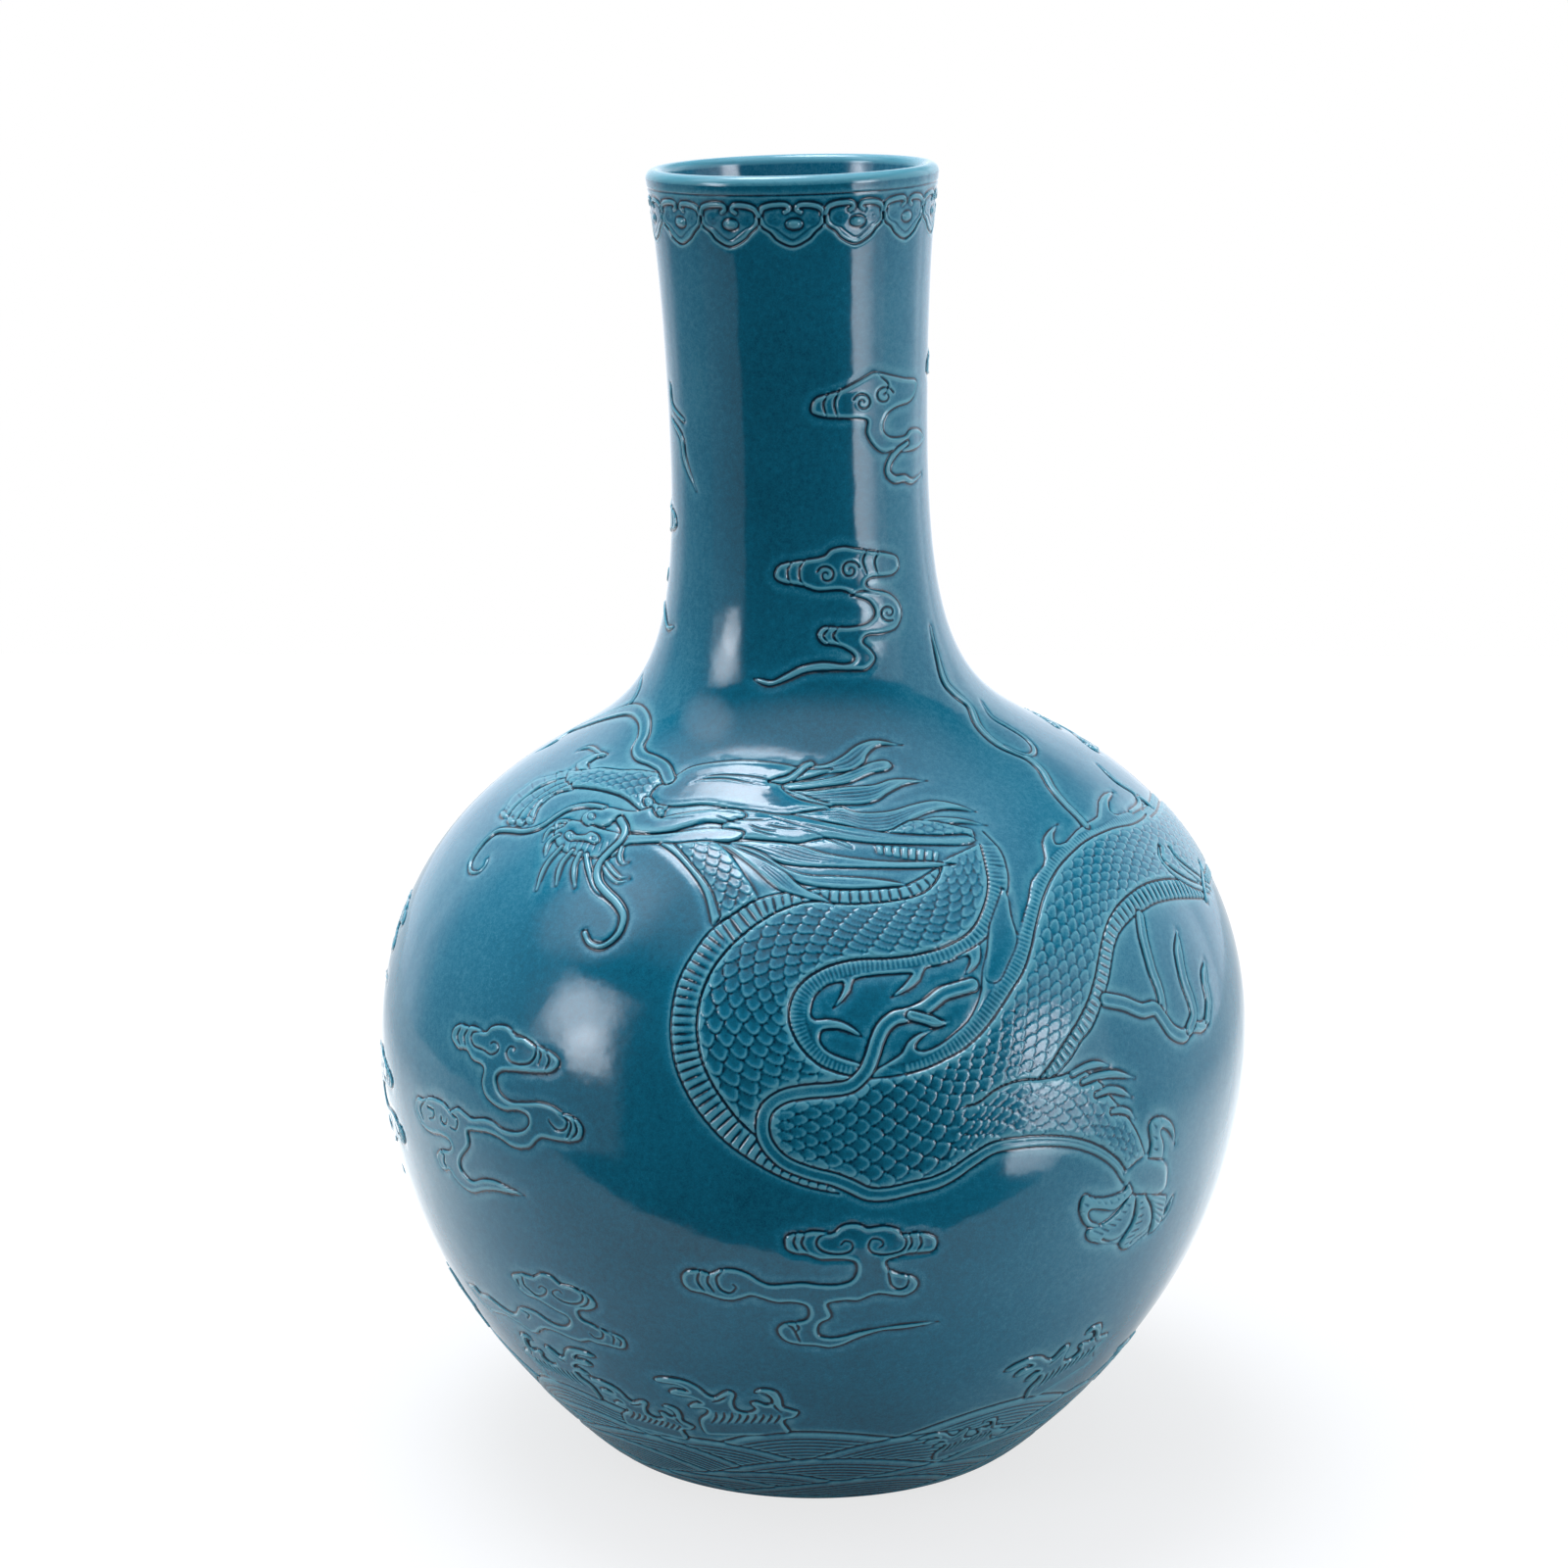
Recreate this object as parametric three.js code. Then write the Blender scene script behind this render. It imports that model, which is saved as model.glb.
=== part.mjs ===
// Tall globular bottle vase in carved, glazed porcelain, millimetres, +Z up.
//
// The vase is thrown in clay sections that are luted to each other with slip: a foot ring,
// a lower body, an upper body and a neck with a rounded lip. Thin coats of glaze lie over
// the outside and the lip, down the inside, and on the recessed base. Each piece is one
// wall section turned about the upright axis, and everything above the belly leans a
// little, as it does where two heavy halves were luted by hand.

import * as THREE from 'three';

// Driving dimensions of the outside
const overallHeight = 560;
const footRadius = 101.5;
const bellyRadius = 191.5;
const bellyHeight = 178;
const rootRadius = 110;
const rootHeight = 311.5;
const neckRadius = 55;
const waistHeight = 438;
const lipRadius = 62.3;

// Slopes of the outside, in degrees: from level at the foot and at the neck's root, and
// from upright at the lip
const footRise = 39;
const rootRise = 30;
const lipFlare = 9.5;

// The lean above the belly, in degrees, and the height over which it sets in
const neckLean = 1.5;
const leanSpan = 120;

// Walls, coats and joints
const footWall = 13;
const lowerWall = 8;
const upperWall = 7;
const neckWall = 5;
const floorThickness = 11;
const outerCoat = 1;
const innerCoat = 0.8;
const slipThickness = 0.8;
const seatGap = 0.3;
const stepHeight = 4;
const footJointHeight = 14;
const neckJointHeight = 346;

// Small forms of the foot and the inside
const glazeLineHeight = 1;
const footEdge = 2;
const recessTaper = 3;
const coveReach = 20;
const coveRise = 18;
const lipTurnDown = 14;

// Handles of the four curved spans, as shares of each span's rise: at its low end, then
// at its high end
const bowlHandleShares = [0.065, 0.544];
const domeHandleShares = [0.68, 0.155];
const rootHandleShares = [0.34, 0.74];
const neckHandleShares = [0.12, 0.33];

// Levels at which each span is cut into facets, as shares of its rise
const bowlLevelShares = [0.12, 0.3, 0.52, 0.76];
const domeLevelShares = [0.18, 0.4, 0.58, 0.74, 0.88];
const rootLevelShares = [0.07, 0.14, 0.22, 0.31, 0.42, 0.6];
const neckLevelShares = [0.3, 0.55, 0.8];

// The step of a luted joint lies this share of the wall in from its outer face
const stepDepthShare = 0.6;

// How many facets go round the vase, over the lip and along the cove
const turns = 40;
const lipFacets = 4;
const coveFacets = 4;

const upright = Math.PI / 2;
const inward = Math.PI;
const radians = Math.PI / 180;

// The outside is four curved spans, which join without a kink at the belly, at the neck's
// root and at the waist.
const outline = {
  foot: { r: footRadius, z: 0, turn: footRise * radians },
  belly: { r: bellyRadius, z: bellyHeight, turn: upright },
  root: { r: rootRadius, z: rootHeight, turn: inward - rootRise * radians },
  waist: { r: neckRadius, z: waistHeight, turn: upright },
  lip: { r: lipRadius, z: overallHeight, turn: upright - lipFlare * radians },
};

function span(low, high, handleShares) {
  const reach = handleShares.map((share) => share * (high.z - low.z));
  const handle = (end, length) => new THREE.Vector2(
    end.r + Math.cos(end.turn) * length, end.z + Math.sin(end.turn) * length);
  return new THREE.CubicBezierCurve(
    new THREE.Vector2(low.r, low.z), handle(low, reach[0]),
    handle(high, -reach[1]), new THREE.Vector2(high.r, high.z));
}

const spans = [
  span(outline.foot, outline.belly, bowlHandleShares),
  span(outline.belly, outline.root, domeHandleShares),
  span(outline.root, outline.waist, rootHandleShares),
  span(outline.waist, outline.lip, neckHandleShares),
];

// The share, from 0 to 1, at which a value that only rises reaches its goal
function shareWhere(valueAt, goal) {
  let low = 0;
  let high = 1;
  for (let halving = 0; halving < 32; halving += 1) {
    const middle = (low + high) / 2;
    if (valueAt(middle) < goal) low = middle;
    else high = middle;
  }
  return (low + high) / 2;
}

// A point in from the outside by a depth, square to the surface, at a share of a span
function offsetPoint(curve, share, depth) {
  const point = curve.getPoint(share);
  const tangent = curve.getTangent(share);
  return new THREE.Vector2(point.x - tangent.y * depth, point.y + tangent.x * depth);
}

// The point of the smooth wall at a level above the ground and a depth in from the outside
function smoothPoint(level, depth) {
  const curve = spans.find((one) => offsetPoint(one, 1, depth).y >= level) ?? spans.at(-1);
  const share = shareWhere((where) => offsetPoint(curve, where, depth).y, level);
  return offsetPoint(curve, share, depth);
}

// The levels at which every face of every piece is cut into facets
const facetLevels = [
  [outline.foot, outline.belly, bowlLevelShares],
  [outline.belly, outline.root, domeLevelShares],
  [outline.root, outline.waist, rootLevelShares],
  [outline.waist, outline.lip, neckLevelShares],
].flatMap(([low, high, shares]) => [0, ...shares].map((share) => low.z + (high.z - low.z) * share));
facetLevels.push(overallHeight);

// The point of the faceted wall at a level, on the straight facet between the two facet
// levels round it, so that faces at different depths never cross. The depth is a function
// of the level.
function wallPoint(level, depthAt) {
  const next = Math.max(facetLevels.findIndex((one) => one >= level), 1);
  const low = smoothPoint(facetLevels[next - 1], depthAt(facetLevels[next - 1]));
  const high = smoothPoint(facetLevels[next], depthAt(facetLevels[next]));
  return low.lerp(high, (level - low.y) / (high.y - low.y));
}

function face(low, high, depthAt) {
  const between = facetLevels.filter((level) => level > low && level < high);
  return [low, ...between, high].map((level) => wallPoint(level, depthAt));
}

// Depths of the clay's outer face and of its inner face, which thins out towards the neck
const clayDepth = outerCoat + seatGap;
const glazedWall = clayDepth + neckWall + seatGap + innerCoat;
const at = (depth) => () => depth;

function innerDepth(level) {
  const toUpper = THREE.MathUtils.smoothstep(level, 0, bellyHeight);
  const toNeck = THREE.MathUtils.smoothstep(level, bellyHeight, neckJointHeight);
  const wall = lowerWall + (upperWall - lowerWall) * toUpper + (neckWall - upperWall) * toNeck;
  return clayDepth + wall;
}

function outerFace(low, high, depth) {
  return face(low, high, at(depth));
}

function innerFace(low, high, lift) {
  return face(low, high, (level) => innerDepth(level) + lift);
}

// The stepped cut of a luted joint, from the clay's outer face to its inner face. The cut
// of the lower piece has no lift, and the slip and the upper piece follow it with a lift.
function stepCut(height, lift) {
  const low = height - stepHeight / 2 + lift;
  const high = height + stepHeight / 2 + lift;
  const wall = innerDepth(height) - clayDepth;
  const step = clayDepth + wall * stepDepthShare - lift;
  return [
    wallPoint(low, at(clayDepth)), wallPoint(low, at(step)),
    wallPoint(high, at(step)), wallPoint(high, innerDepth),
  ];
}

const slipLift = seatGap;
const slipTopLift = seatGap + slipThickness;
const upperLift = seatGap + slipThickness + seatGap;

// The level at which the rounded lip springs from the wall, between two depths
function lipLevel(outerDepth, deeper) {
  return overallHeight - outerDepth - (deeper - outerDepth) / 2;
}

// The rounded lip, as a half circle over the wall from one depth to a deeper one
function lipArc(outerDepth, deeper) {
  const level = lipLevel(outerDepth, deeper);
  const outer = wallPoint(level, at(outerDepth));
  const inner = wallPoint(level, at(deeper));
  const centre = outer.clone().add(inner).divideScalar(2);
  const half = outer.distanceTo(inner) / 2;
  return Array.from({ length: lipFacets - 1 }, (unused, index) => {
    const turn = (Math.PI * (index + 1)) / lipFacets;
    return new THREE.Vector2(centre.x + Math.cos(turn) * half, centre.y + Math.sin(turn) * half);
  });
}

// The inside floor with its cove, from the wall to the axis
const floorUnderside = footJointHeight + upperLift;
const floorTop = floorUnderside + floorThickness;

function floorCurve(lift) {
  const level = floorTop + lift;
  const wallLevel = floorTop + coveRise;
  const wall = wallPoint(wallLevel, (one) => innerDepth(one) + lift);
  const corner = wallPoint(level, (one) => innerDepth(one) + lift);
  const flat = new THREE.Vector2(corner.x - coveReach, level);
  const cove = new THREE.QuadraticBezierCurve(wall, corner, flat);
  return [...cove.getPoints(coveFacets).slice(1), new THREE.Vector2(0, level)];
}

// The lean: a point rides with its level, which turns about the Y axis and shifts with
// the leaning centre line
function lean(geometry) {
  const place = geometry.attributes.position;
  const start = bellyHeight - leanSpan / 2;
  const full = neckLean * radians;
  for (let index = 0; index < place.count; index += 1) {
    const x = place.getX(index);
    const z = place.getZ(index);
    const share = THREE.MathUtils.clamp((z - start) / leanSpan, 0, 1);
    const angle = full * (3 * share ** 2 - 2 * share ** 3);
    const past = Math.max(z - start - leanSpan, 0);
    const shift = full * (leanSpan * (share ** 3 - share ** 4 / 2) + past);
    place.setX(index, x * Math.cos(angle) - shift);
    place.setZ(index, z + x * Math.sin(angle));
  }
  geometry.computeVertexNormals();
  return geometry;
}

// A turned piece: its section, closed on itself or on the axis, goes round counter
// clockwise as seen with the axis on the left
function turned(name, section, material) {
  const closed = section[0].x === 0 ? section : [...section, section[0]];
  const geometry = new THREE.LatheGeometry(closed, turns);
  geometry.rotateX(upright);
  const mesh = new THREE.Mesh(lean(geometry), material);
  mesh.name = name;
  return mesh;
}

// The foot ring stands on a narrow unglazed edge round a recess
const recessRadius = footRadius - footWall;
const recessTopRadius = recessRadius - recessTaper;

function footRing(material) {
  const flat = (radius, level) => new THREE.Vector2(radius, level);
  return turned('foot_ring', [
    flat(recessRadius, 0),
    flat(footRadius - footEdge, 0),
    offsetPoint(spans[0], 0, clayDepth),
    wallPoint(footJointHeight, at(clayDepth)),
    flat(recessTopRadius, footJointHeight),
  ], material);
}

// The slip under the lower body is a flat ring as wide as the foot
function footSlip(material) {
  const low = footJointHeight + slipLift;
  const high = footJointHeight + slipTopLift;
  return turned('foot_joint_slip', [
    new THREE.Vector2(recessTopRadius, low),
    wallPoint(low, at(clayDepth)),
    wallPoint(high, at(clayDepth)),
    new THREE.Vector2(recessTopRadius, high),
  ], material);
}

// The lower body is a bowl with a flat floor, open at the belly joint
function lowerBody(material) {
  const cut = stepCut(bellyHeight, 0);
  return turned('lower_body', [
    new THREE.Vector2(0, floorUnderside),
    ...outerFace(floorUnderside, cut[0].y, clayDepth),
    ...cut.slice(1),
    ...innerFace(floorTop + coveRise, cut.at(-1).y, 0).reverse().slice(1),
    ...floorCurve(0),
  ], material);
}

// A clay section between two luted joints
function upperBody(material) {
  const foot = stepCut(bellyHeight, upperLift);
  const top = stepCut(neckJointHeight, 0);
  return turned('upper_body', [
    ...outerFace(foot[0].y, top[0].y, clayDepth),
    ...top.slice(1),
    ...innerFace(foot.at(-1).y, top.at(-1).y, 0).reverse().slice(1),
    foot[2], foot[1],
  ], material);
}

// The slip squeezed into a stepped joint keeps the joint's step on both faces
function stepSlip(name, height, material) {
  const low = stepCut(height, slipLift);
  const high = stepCut(height, slipTopLift);
  return turned(name, [low[0], ...high, ...low.slice(1).reverse()], material);
}

// The neck stands on the upper body and ends in the rounded clay core of the lip
function neck(material) {
  const foot = stepCut(neckJointHeight, upperLift);
  const deeper = clayDepth + neckWall;
  const top = lipLevel(clayDepth, deeper);
  return turned('neck', [
    ...outerFace(foot[0].y, top, clayDepth),
    ...lipArc(clayDepth, deeper),
    ...innerFace(foot.at(-1).y, top, 0).reverse(),
    foot[2], foot[1],
  ], material);
}

// The outer glaze runs from just above the standing edge, over the lip and a little way
// down the inside of the mouth
function outerGlaze(material) {
  const inside = glazedWall - innerCoat;
  const mouthLevel = overallHeight - lipTurnDown;
  return turned('outer_glaze', [
    ...outerFace(glazeLineHeight, lipLevel(0, glazedWall), 0),
    ...lipArc(0, glazedWall),
    wallPoint(lipLevel(0, glazedWall), at(glazedWall)),
    wallPoint(mouthLevel, at(glazedWall)),
    wallPoint(mouthLevel, at(inside)),
    wallPoint(lipLevel(outerCoat, inside), at(inside)),
    ...lipArc(outerCoat, inside).reverse(),
    ...outerFace(glazeLineHeight, lipLevel(outerCoat, inside), outerCoat).reverse(),
  ], material);
}

// The inner glaze lines the whole hollow, from the floor to the turned-down lip glaze
function innerGlaze(material) {
  const low = floorTop + coveRise;
  const high = overallHeight - lipTurnDown - seatGap;
  const underside = floorCurve(seatGap).reverse();
  return turned('inner_glaze', [
    ...underside,
    ...innerFace(low, high, seatGap),
    ...innerFace(low, high, seatGap + innerCoat).reverse(),
    ...floorCurve(seatGap + innerCoat),
  ], material);
}

// The base glaze is a thin disc on the recessed underside of the floor
function baseGlaze(material) {
  const radius = recessTopRadius - seatGap;
  const high = floorUnderside - seatGap;
  const low = high - innerCoat;
  return turned('base_glaze', [
    new THREE.Vector2(0, low),
    new THREE.Vector2(radius, low),
    new THREE.Vector2(radius, high),
    new THREE.Vector2(0, high),
  ], material);
}

const clay = () => new THREE.MeshStandardMaterial({ color: 0xcfc6b6, roughness: 0.85 });
const slip = () => new THREE.MeshStandardMaterial({ color: 0xbdb29f, roughness: 0.9 });
const glaze = () => new THREE.MeshStandardMaterial({ color: 0x0d5f7d, roughness: 0.12 });
const thinGlaze = () => new THREE.MeshStandardMaterial({ color: 0x2a7c93, roughness: 0.14 });

const vase = new THREE.Group();
vase.add(
  footRing(clay()),
  footSlip(slip()),
  lowerBody(clay()),
  stepSlip('belly_joint_slip', bellyHeight, slip()),
  upperBody(clay()),
  stepSlip('neck_joint_slip', neckJointHeight, slip()),
  neck(clay()),
  outerGlaze(glaze()),
  innerGlaze(thinGlaze()),
  baseGlaze(thinGlaze()),
);

export default vase;
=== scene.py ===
"""Tall globular bottle vase in carved porcelain under a turquoise glaze.

The carving is one height field over the outside of the wall, cut groove by groove as the
carver does it, and the glaze is that field again, a little levelled by melting. Lengths in
the carving are millimetres, and every mesh is in metres.
"""

import bpy
import numpy as np
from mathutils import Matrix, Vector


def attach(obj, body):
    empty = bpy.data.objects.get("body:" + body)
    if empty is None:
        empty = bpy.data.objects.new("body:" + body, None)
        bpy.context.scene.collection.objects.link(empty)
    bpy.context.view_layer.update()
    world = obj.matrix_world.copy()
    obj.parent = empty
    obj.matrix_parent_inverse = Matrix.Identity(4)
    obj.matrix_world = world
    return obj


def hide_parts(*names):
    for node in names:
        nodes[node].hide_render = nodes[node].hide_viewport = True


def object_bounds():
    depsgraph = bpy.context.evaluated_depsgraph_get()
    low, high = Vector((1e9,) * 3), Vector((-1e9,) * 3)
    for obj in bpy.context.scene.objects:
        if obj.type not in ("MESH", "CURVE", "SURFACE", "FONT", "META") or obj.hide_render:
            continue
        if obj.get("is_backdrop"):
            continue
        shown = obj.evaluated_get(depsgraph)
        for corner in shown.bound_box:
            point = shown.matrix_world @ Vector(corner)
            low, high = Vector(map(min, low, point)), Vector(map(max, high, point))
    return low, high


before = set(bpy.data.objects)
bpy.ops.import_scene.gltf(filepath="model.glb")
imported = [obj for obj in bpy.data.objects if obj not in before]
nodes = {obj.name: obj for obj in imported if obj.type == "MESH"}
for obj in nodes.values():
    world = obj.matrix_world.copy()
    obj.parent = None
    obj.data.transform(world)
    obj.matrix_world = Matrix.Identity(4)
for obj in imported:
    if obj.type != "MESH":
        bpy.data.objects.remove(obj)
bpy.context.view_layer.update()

# The camera stands in front of the vase and a little above its mouth, and looks down on
# it. It was placed by the outline of the foot, the belly and the mouth.
mm = 0.001
eye_back, eye_height = 1485.9, 673.7
eye_pitch, eye_yaw = np.radians([14.416, 0.5134])
focal_px, frame_px = 3570.86, 1600
sensor_width = 36

camera = bpy.data.objects.new("camera", bpy.data.cameras.new("camera"))
camera.location = (0, -eye_back * mm, eye_height * mm)
camera.rotation_euler = (np.pi / 2 - eye_pitch, 0, eye_yaw)
camera.data.sensor_width = sensor_width
camera.data.lens = focal_px / frame_px * sensor_width
bpy.context.scene.collection.objects.link(camera)
bpy.context.scene.camera = camera
bpy.context.scene.view_settings.view_transform = "Standard"

# The room: the vase is lit from a broad lamp overhead and behind it, from a tall window on
# each side, and by the pale backdrop. The front of the room is dark, as it shows in the
# glaze. To the camera the background is plain white.
class Socket:
    """A shader value: arithmetic on it adds Math nodes to its tree."""

    def __init__(self, tree, link):
        self.tree, self.link = tree, link

    def node(self, kind, output=0, set=(), **inputs):
        """Adds a node of a kind with its settings, then its sockets' values or links."""
        made = self.tree.nodes.new(kind)
        for name, value in dict(set).items():
            if name == "stops":
                ramp = made.color_ramp
                while len(ramp.elements) < len(value):
                    ramp.elements.new(1)
                for stop, (place, colour) in zip(ramp.elements, value):
                    stop.position, stop.color = place, (*colour, 1)
            else:
                setattr(made, name, value)
        for name, value in inputs.items():
            key = int(name[1:]) if name[0] == "i" and name[1:].isdigit() else name.replace("_", " ")
            if isinstance(value, Socket):
                self.tree.links.new(value.link, made.inputs[key])
            else:
                made.inputs[key].default_value = value
        return Socket(self.tree, made.outputs[output])

    def math(self, operation, *values):
        return self.node("ShaderNodeMath", set={"operation": operation},
                         **{f"i{k}": value for k, value in enumerate(values)})

    def __add__(self, other):
        return self.math("ADD", self, other)

    def __radd__(self, other):
        return self.math("ADD", other, self)

    def __sub__(self, other):
        return self.math("SUBTRACT", self, other)

    def __rsub__(self, other):
        return self.math("SUBTRACT", other, self)

    def __mul__(self, other):
        return self.math("MULTIPLY", self, other)

    def __rmul__(self, other):
        return self.math("MULTIPLY", other, self)

    def __truediv__(self, other):
        return self.math("DIVIDE", self, other)

    def __pow__(self, other):
        return self.math("POWER", self, other)

    def ramp(self, low, high):
        """Rises smoothly from nought at low to one at high."""
        return self.node("ShaderNodeMapRange", set={"interpolation_type": "SMOOTHSTEP"},
                         Value=self, From_Min=low, From_Max=high)

    def blend(self, first, second):
        """A colour between two, by this share."""
        return self.node("ShaderNodeMix", output=2, set={"data_type": "RGBA"},
                         i0=self, i6=first, i7=second)

    def parts(self):
        """The three numbers of a vector."""
        return [self.node("ShaderNodeSeparateXYZ", output=k, Vector=self) for k in range(3)]


def start_tree(tree, output):
    """Empties a shader tree and gives its first handle, with a way to finish it."""
    tree.nodes.clear()
    end = tree.nodes.new(output)
    return Socket(tree, None), lambda shader: tree.links.new(shader.link, end.inputs["Surface"])


def rays(tree, *kinds):
    """Whether a ray is of each kind: one where it is, nought where it isn't."""
    return [tree.node("ShaderNodeLightPath", output=f"Is {kind} Ray") for kind in kinds]


world = bpy.data.worlds.new("room")
bpy.context.scene.world = world
world.use_nodes = True
room, finish_room = start_tree(world.node_tree, "ShaderNodeOutputWorld")
way = room.node("ShaderNodeTexCoord", output=0)
way_x, way_y, way_z = way.parts()


def towards(turn, rise):
    """How far a direction lies towards a turn from the front and a rise: its cosine."""
    turn, rise = np.radians([turn, rise])
    aim = np.sin(turn) * np.cos(rise), -np.cos(turn) * np.cos(rise), np.sin(rise)
    return way_x * aim[0] + way_y * aim[1] + way_z * aim[2]


def pane(turn, half_width, low, high):
    """A window seen from the vase: one inside its frame, nought outside."""
    ahead = towards(turn, 0).math("MAXIMUM", towards(turn, 0), 0.02)
    side, up = towards(turn + 90, 0) / ahead, way_z / ahead
    half, soft = np.tan(np.radians(half_width)), 0.03
    low, high = np.tan(np.radians([low, high]))
    edges = [side.ramp(-half - soft, -half + soft), (0 - side).ramp(-half - soft, -half + soft),
             up.ramp(low - soft, low + soft), (0 - up).ramp(-high - soft, -high + soft)]
    return edges[0] * edges[1] * edges[2] * edges[3] * ahead.ramp(0.03, 0.1)


def spot(turn, rise, radius, soft):
    """A round lamp seen from the vase, with a soft edge."""
    near_edge, far_edge = np.cos(np.radians([max(radius - soft, 0), radius + soft]))
    return towards(turn, rise).ramp(far_edge, near_edge)


front_dark = 0.03
backdrop = way_y.ramp(0.45, 0.85) * (1.2 - 0.9 * spot(152, 36, 14, 10)) + 0.4 * spot(134, 8, 12, 18)
ceiling = way_z.ramp(0.6, 0.95) * 1.2 + spot(-88, 45, 2, 17) * 1.9
overhead = spot(-143, 74, 2, 17) * 12 + spot(-146, 64, 20, 14) * 0.8
left_glare = 6 * spot(-66, 18, 0, 15) ** 2 + 5.5 * spot(-61, 9, 1, 10) ** 2
left_window = pane(-67, 17, -18, 29) * 0.45 + pane(-66, 13, 2, 29) * (1.2 + left_glare)
right_window = pane(66, 16, -22, 31) * (1.3 + 4 * spot(46, -6, 6, 24) + 6 * spot(60, 9, 0, 15) ** 2)
right_wall = pane(108, 26, -30, 34) * 0.8
left_wall = pane(-110, 26, -30, 34) * 0.3
light = front_dark + backdrop + ceiling + overhead + left_window + right_window
light = light + right_wall + left_wall
by_camera, by_glass = rays(room, "Camera", "Transmission")
plain = by_camera.math("MAXIMUM", by_camera, by_glass)
cool_daylight, white = (0.93, 0.98, 1.07, 1), (1, 1, 1, 1)
finish_room(room.node("ShaderNodeBackground", Color=plain.blend(cool_daylight, white),
                      Strength=plain + (1 - plain) * light))


# The floor is a pale table top, and to the camera it is white but for the vase's shadow. Its
# front edge lies just below the view, and the dark room beyond it shows in the belly. To
# glossy rays the table is partly a painted glow: painted shadow near the foot, and painted
# light that rises away from the foot and towards the back.
left, right, front, rear = -1.1, 1.1, -0.36, 1.6
table_mesh = bpy.data.meshes.new("floor")
table_mesh.from_pydata([(left, front, 0), (right, front, 0), (right, rear, 0), (left, rear, 0)],
                       [], [(0, 1, 2, 3)])


def new_material(name):
    """A material with an empty tree, its first handle and the way to finish it."""
    material = bpy.data.materials.new(name)
    material.use_nodes = True
    return material, *start_tree(material.node_tree, "ShaderNodeOutputMaterial")


table = bpy.data.objects.new("floor", table_mesh)
table.location.z = -0.0001
bpy.context.scene.collection.objects.link(table)
table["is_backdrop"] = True
table_top, top, finish_top = new_material("pale table top")
by_camera, by_gloss, by_glass = rays(top, "Camera", "Glossy", "Transmission")
plain = by_camera.math("MAXIMUM", by_camera, by_glass)
shade = plain.math("MAXIMUM", plain, by_gloss * 0.25)
grey_to_the_vase, pale_to_the_camera = (0.46, 0.46, 0.46, 1), (0.78, 0.78, 0.78, 1)
paper = top.node("ShaderNodeBsdfDiffuse", Color=shade.blend(grey_to_the_vase, pale_to_the_camera))
# Painted reflection: to glossy rays the table glows, dim near the foot as painted shadow and brighter
# away from it and towards the back as painted light.
across, back, _ = top.node("ShaderNodeTexCoord", output=3).parts()
away = (across * across + back * back) ** 0.5
painted_glow_in_glaze = away.ramp(0.0, 0.42) * (1 - 0.7 * away.ramp(0.4, 0.9))
painted_glow_in_glaze = painted_glow_in_glaze * (0.8 + 2.2 * back.ramp(-0.3, 0.25))
glow = top.node("ShaderNodeEmission", Color=white, Strength=plain + (1 - plain) * painted_glow_in_glaze)
finish_top(top.node("ShaderNodeMixShader", i0=plain * 0.75 + by_gloss * 0.5, i1=paper, i2=glow))
table_mesh.materials.append(table_top)


# The clay sections: the foot ring, the lower and upper body and the neck are thrown in
# buff porcelain. They keep their solids, and only the foot's standing edge stays bare.
def clay(name, colour, grain):
    """Fired clay: a mottled matte body with fine pits."""
    material, body, finish = new_material(name)
    place = body.node("ShaderNodeTexCoord", output=3)
    cloud = body.node("ShaderNodeTexNoise", Vector=place, Scale=70.0, Detail=4.0)
    pits = body.node("ShaderNodeTexNoise", Vector=place, Scale=grain, Detail=2.0)
    rings = body.node("ShaderNodeTexWave", output=1, set={"bands_direction": "Z"},
                      Vector=place, Scale=90.0, Distortion=2.0)
    dark = [0.8 * part for part in colour]
    tone = cloud.ramp(0.3, 0.7).blend((*dark, 1), (*colour, 1))
    bump = body.node("ShaderNodeBump", Strength=0.3, Distance=0.0004, Height=pits + rings * 0.3)
    finish(body.node("ShaderNodeBsdfPrincipled", Base_Color=tone, Roughness=0.78 + cloud * 0.15,
                     Normal=bump))
    return material


def dress(node, material):
    """Gives a carried-over solid its material."""
    mesh = nodes[node].data
    mesh.materials.clear()
    mesh.materials.append(material)


bare_clay = clay("bare clay", (0.66, 0.6, 0.5), 900.0)
for node in ("foot_ring", "lower_body", "upper_body", "neck"):
    dress(node, bare_clay)

# The joints are luted with slip, which is the same clay let down with water. It fires a
# little darker and coarser, and the glaze hides it.
joint_slip = clay("joint slip", (0.55, 0.49, 0.4), 500.0)
for node in ("foot_joint_slip", "belly_joint_slip", "neck_joint_slip"):
    dress(node, joint_slip)

# The outside of the wall is four curves, from the foot over the belly and the neck's root
# to the lip. Above the belly it leans a little to the left, as it was luted by hand.
overall_height, foot_radius = 560.0, 101.5
belly_radius, belly_height = 191.5, 178.0
root_radius, root_height = 110.0, 311.5
neck_radius, waist_height = 55.0, 438.0
lip_radius = 62.3
foot_rise, root_rise, lip_flare = np.radians([39, 30, 9.5])
neck_lean, lean_span = np.radians(1.5), 120.0
wall_at_lip = 7.4
glaze_start = 1.0


def span(low, low_turn, high, high_turn, shares):
    """Cubic curve whose handles are shares of its rise, as points of radius and height."""
    rise = high[1] - low[1]
    aim = lambda turn: np.array([np.cos(turn), np.sin(turn)])
    a, d = np.array(low), np.array(high)
    b, c = a + aim(low_turn) * shares[0] * rise, d - aim(high_turn) * shares[1] * rise
    t = np.linspace(0, 1, 400)[:, None]
    return ((1 - t) ** 3 * a + 3 * (1 - t) ** 2 * t * b + 3 * (1 - t) * t ** 2 * c + t ** 3 * d)[:-1]


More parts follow.
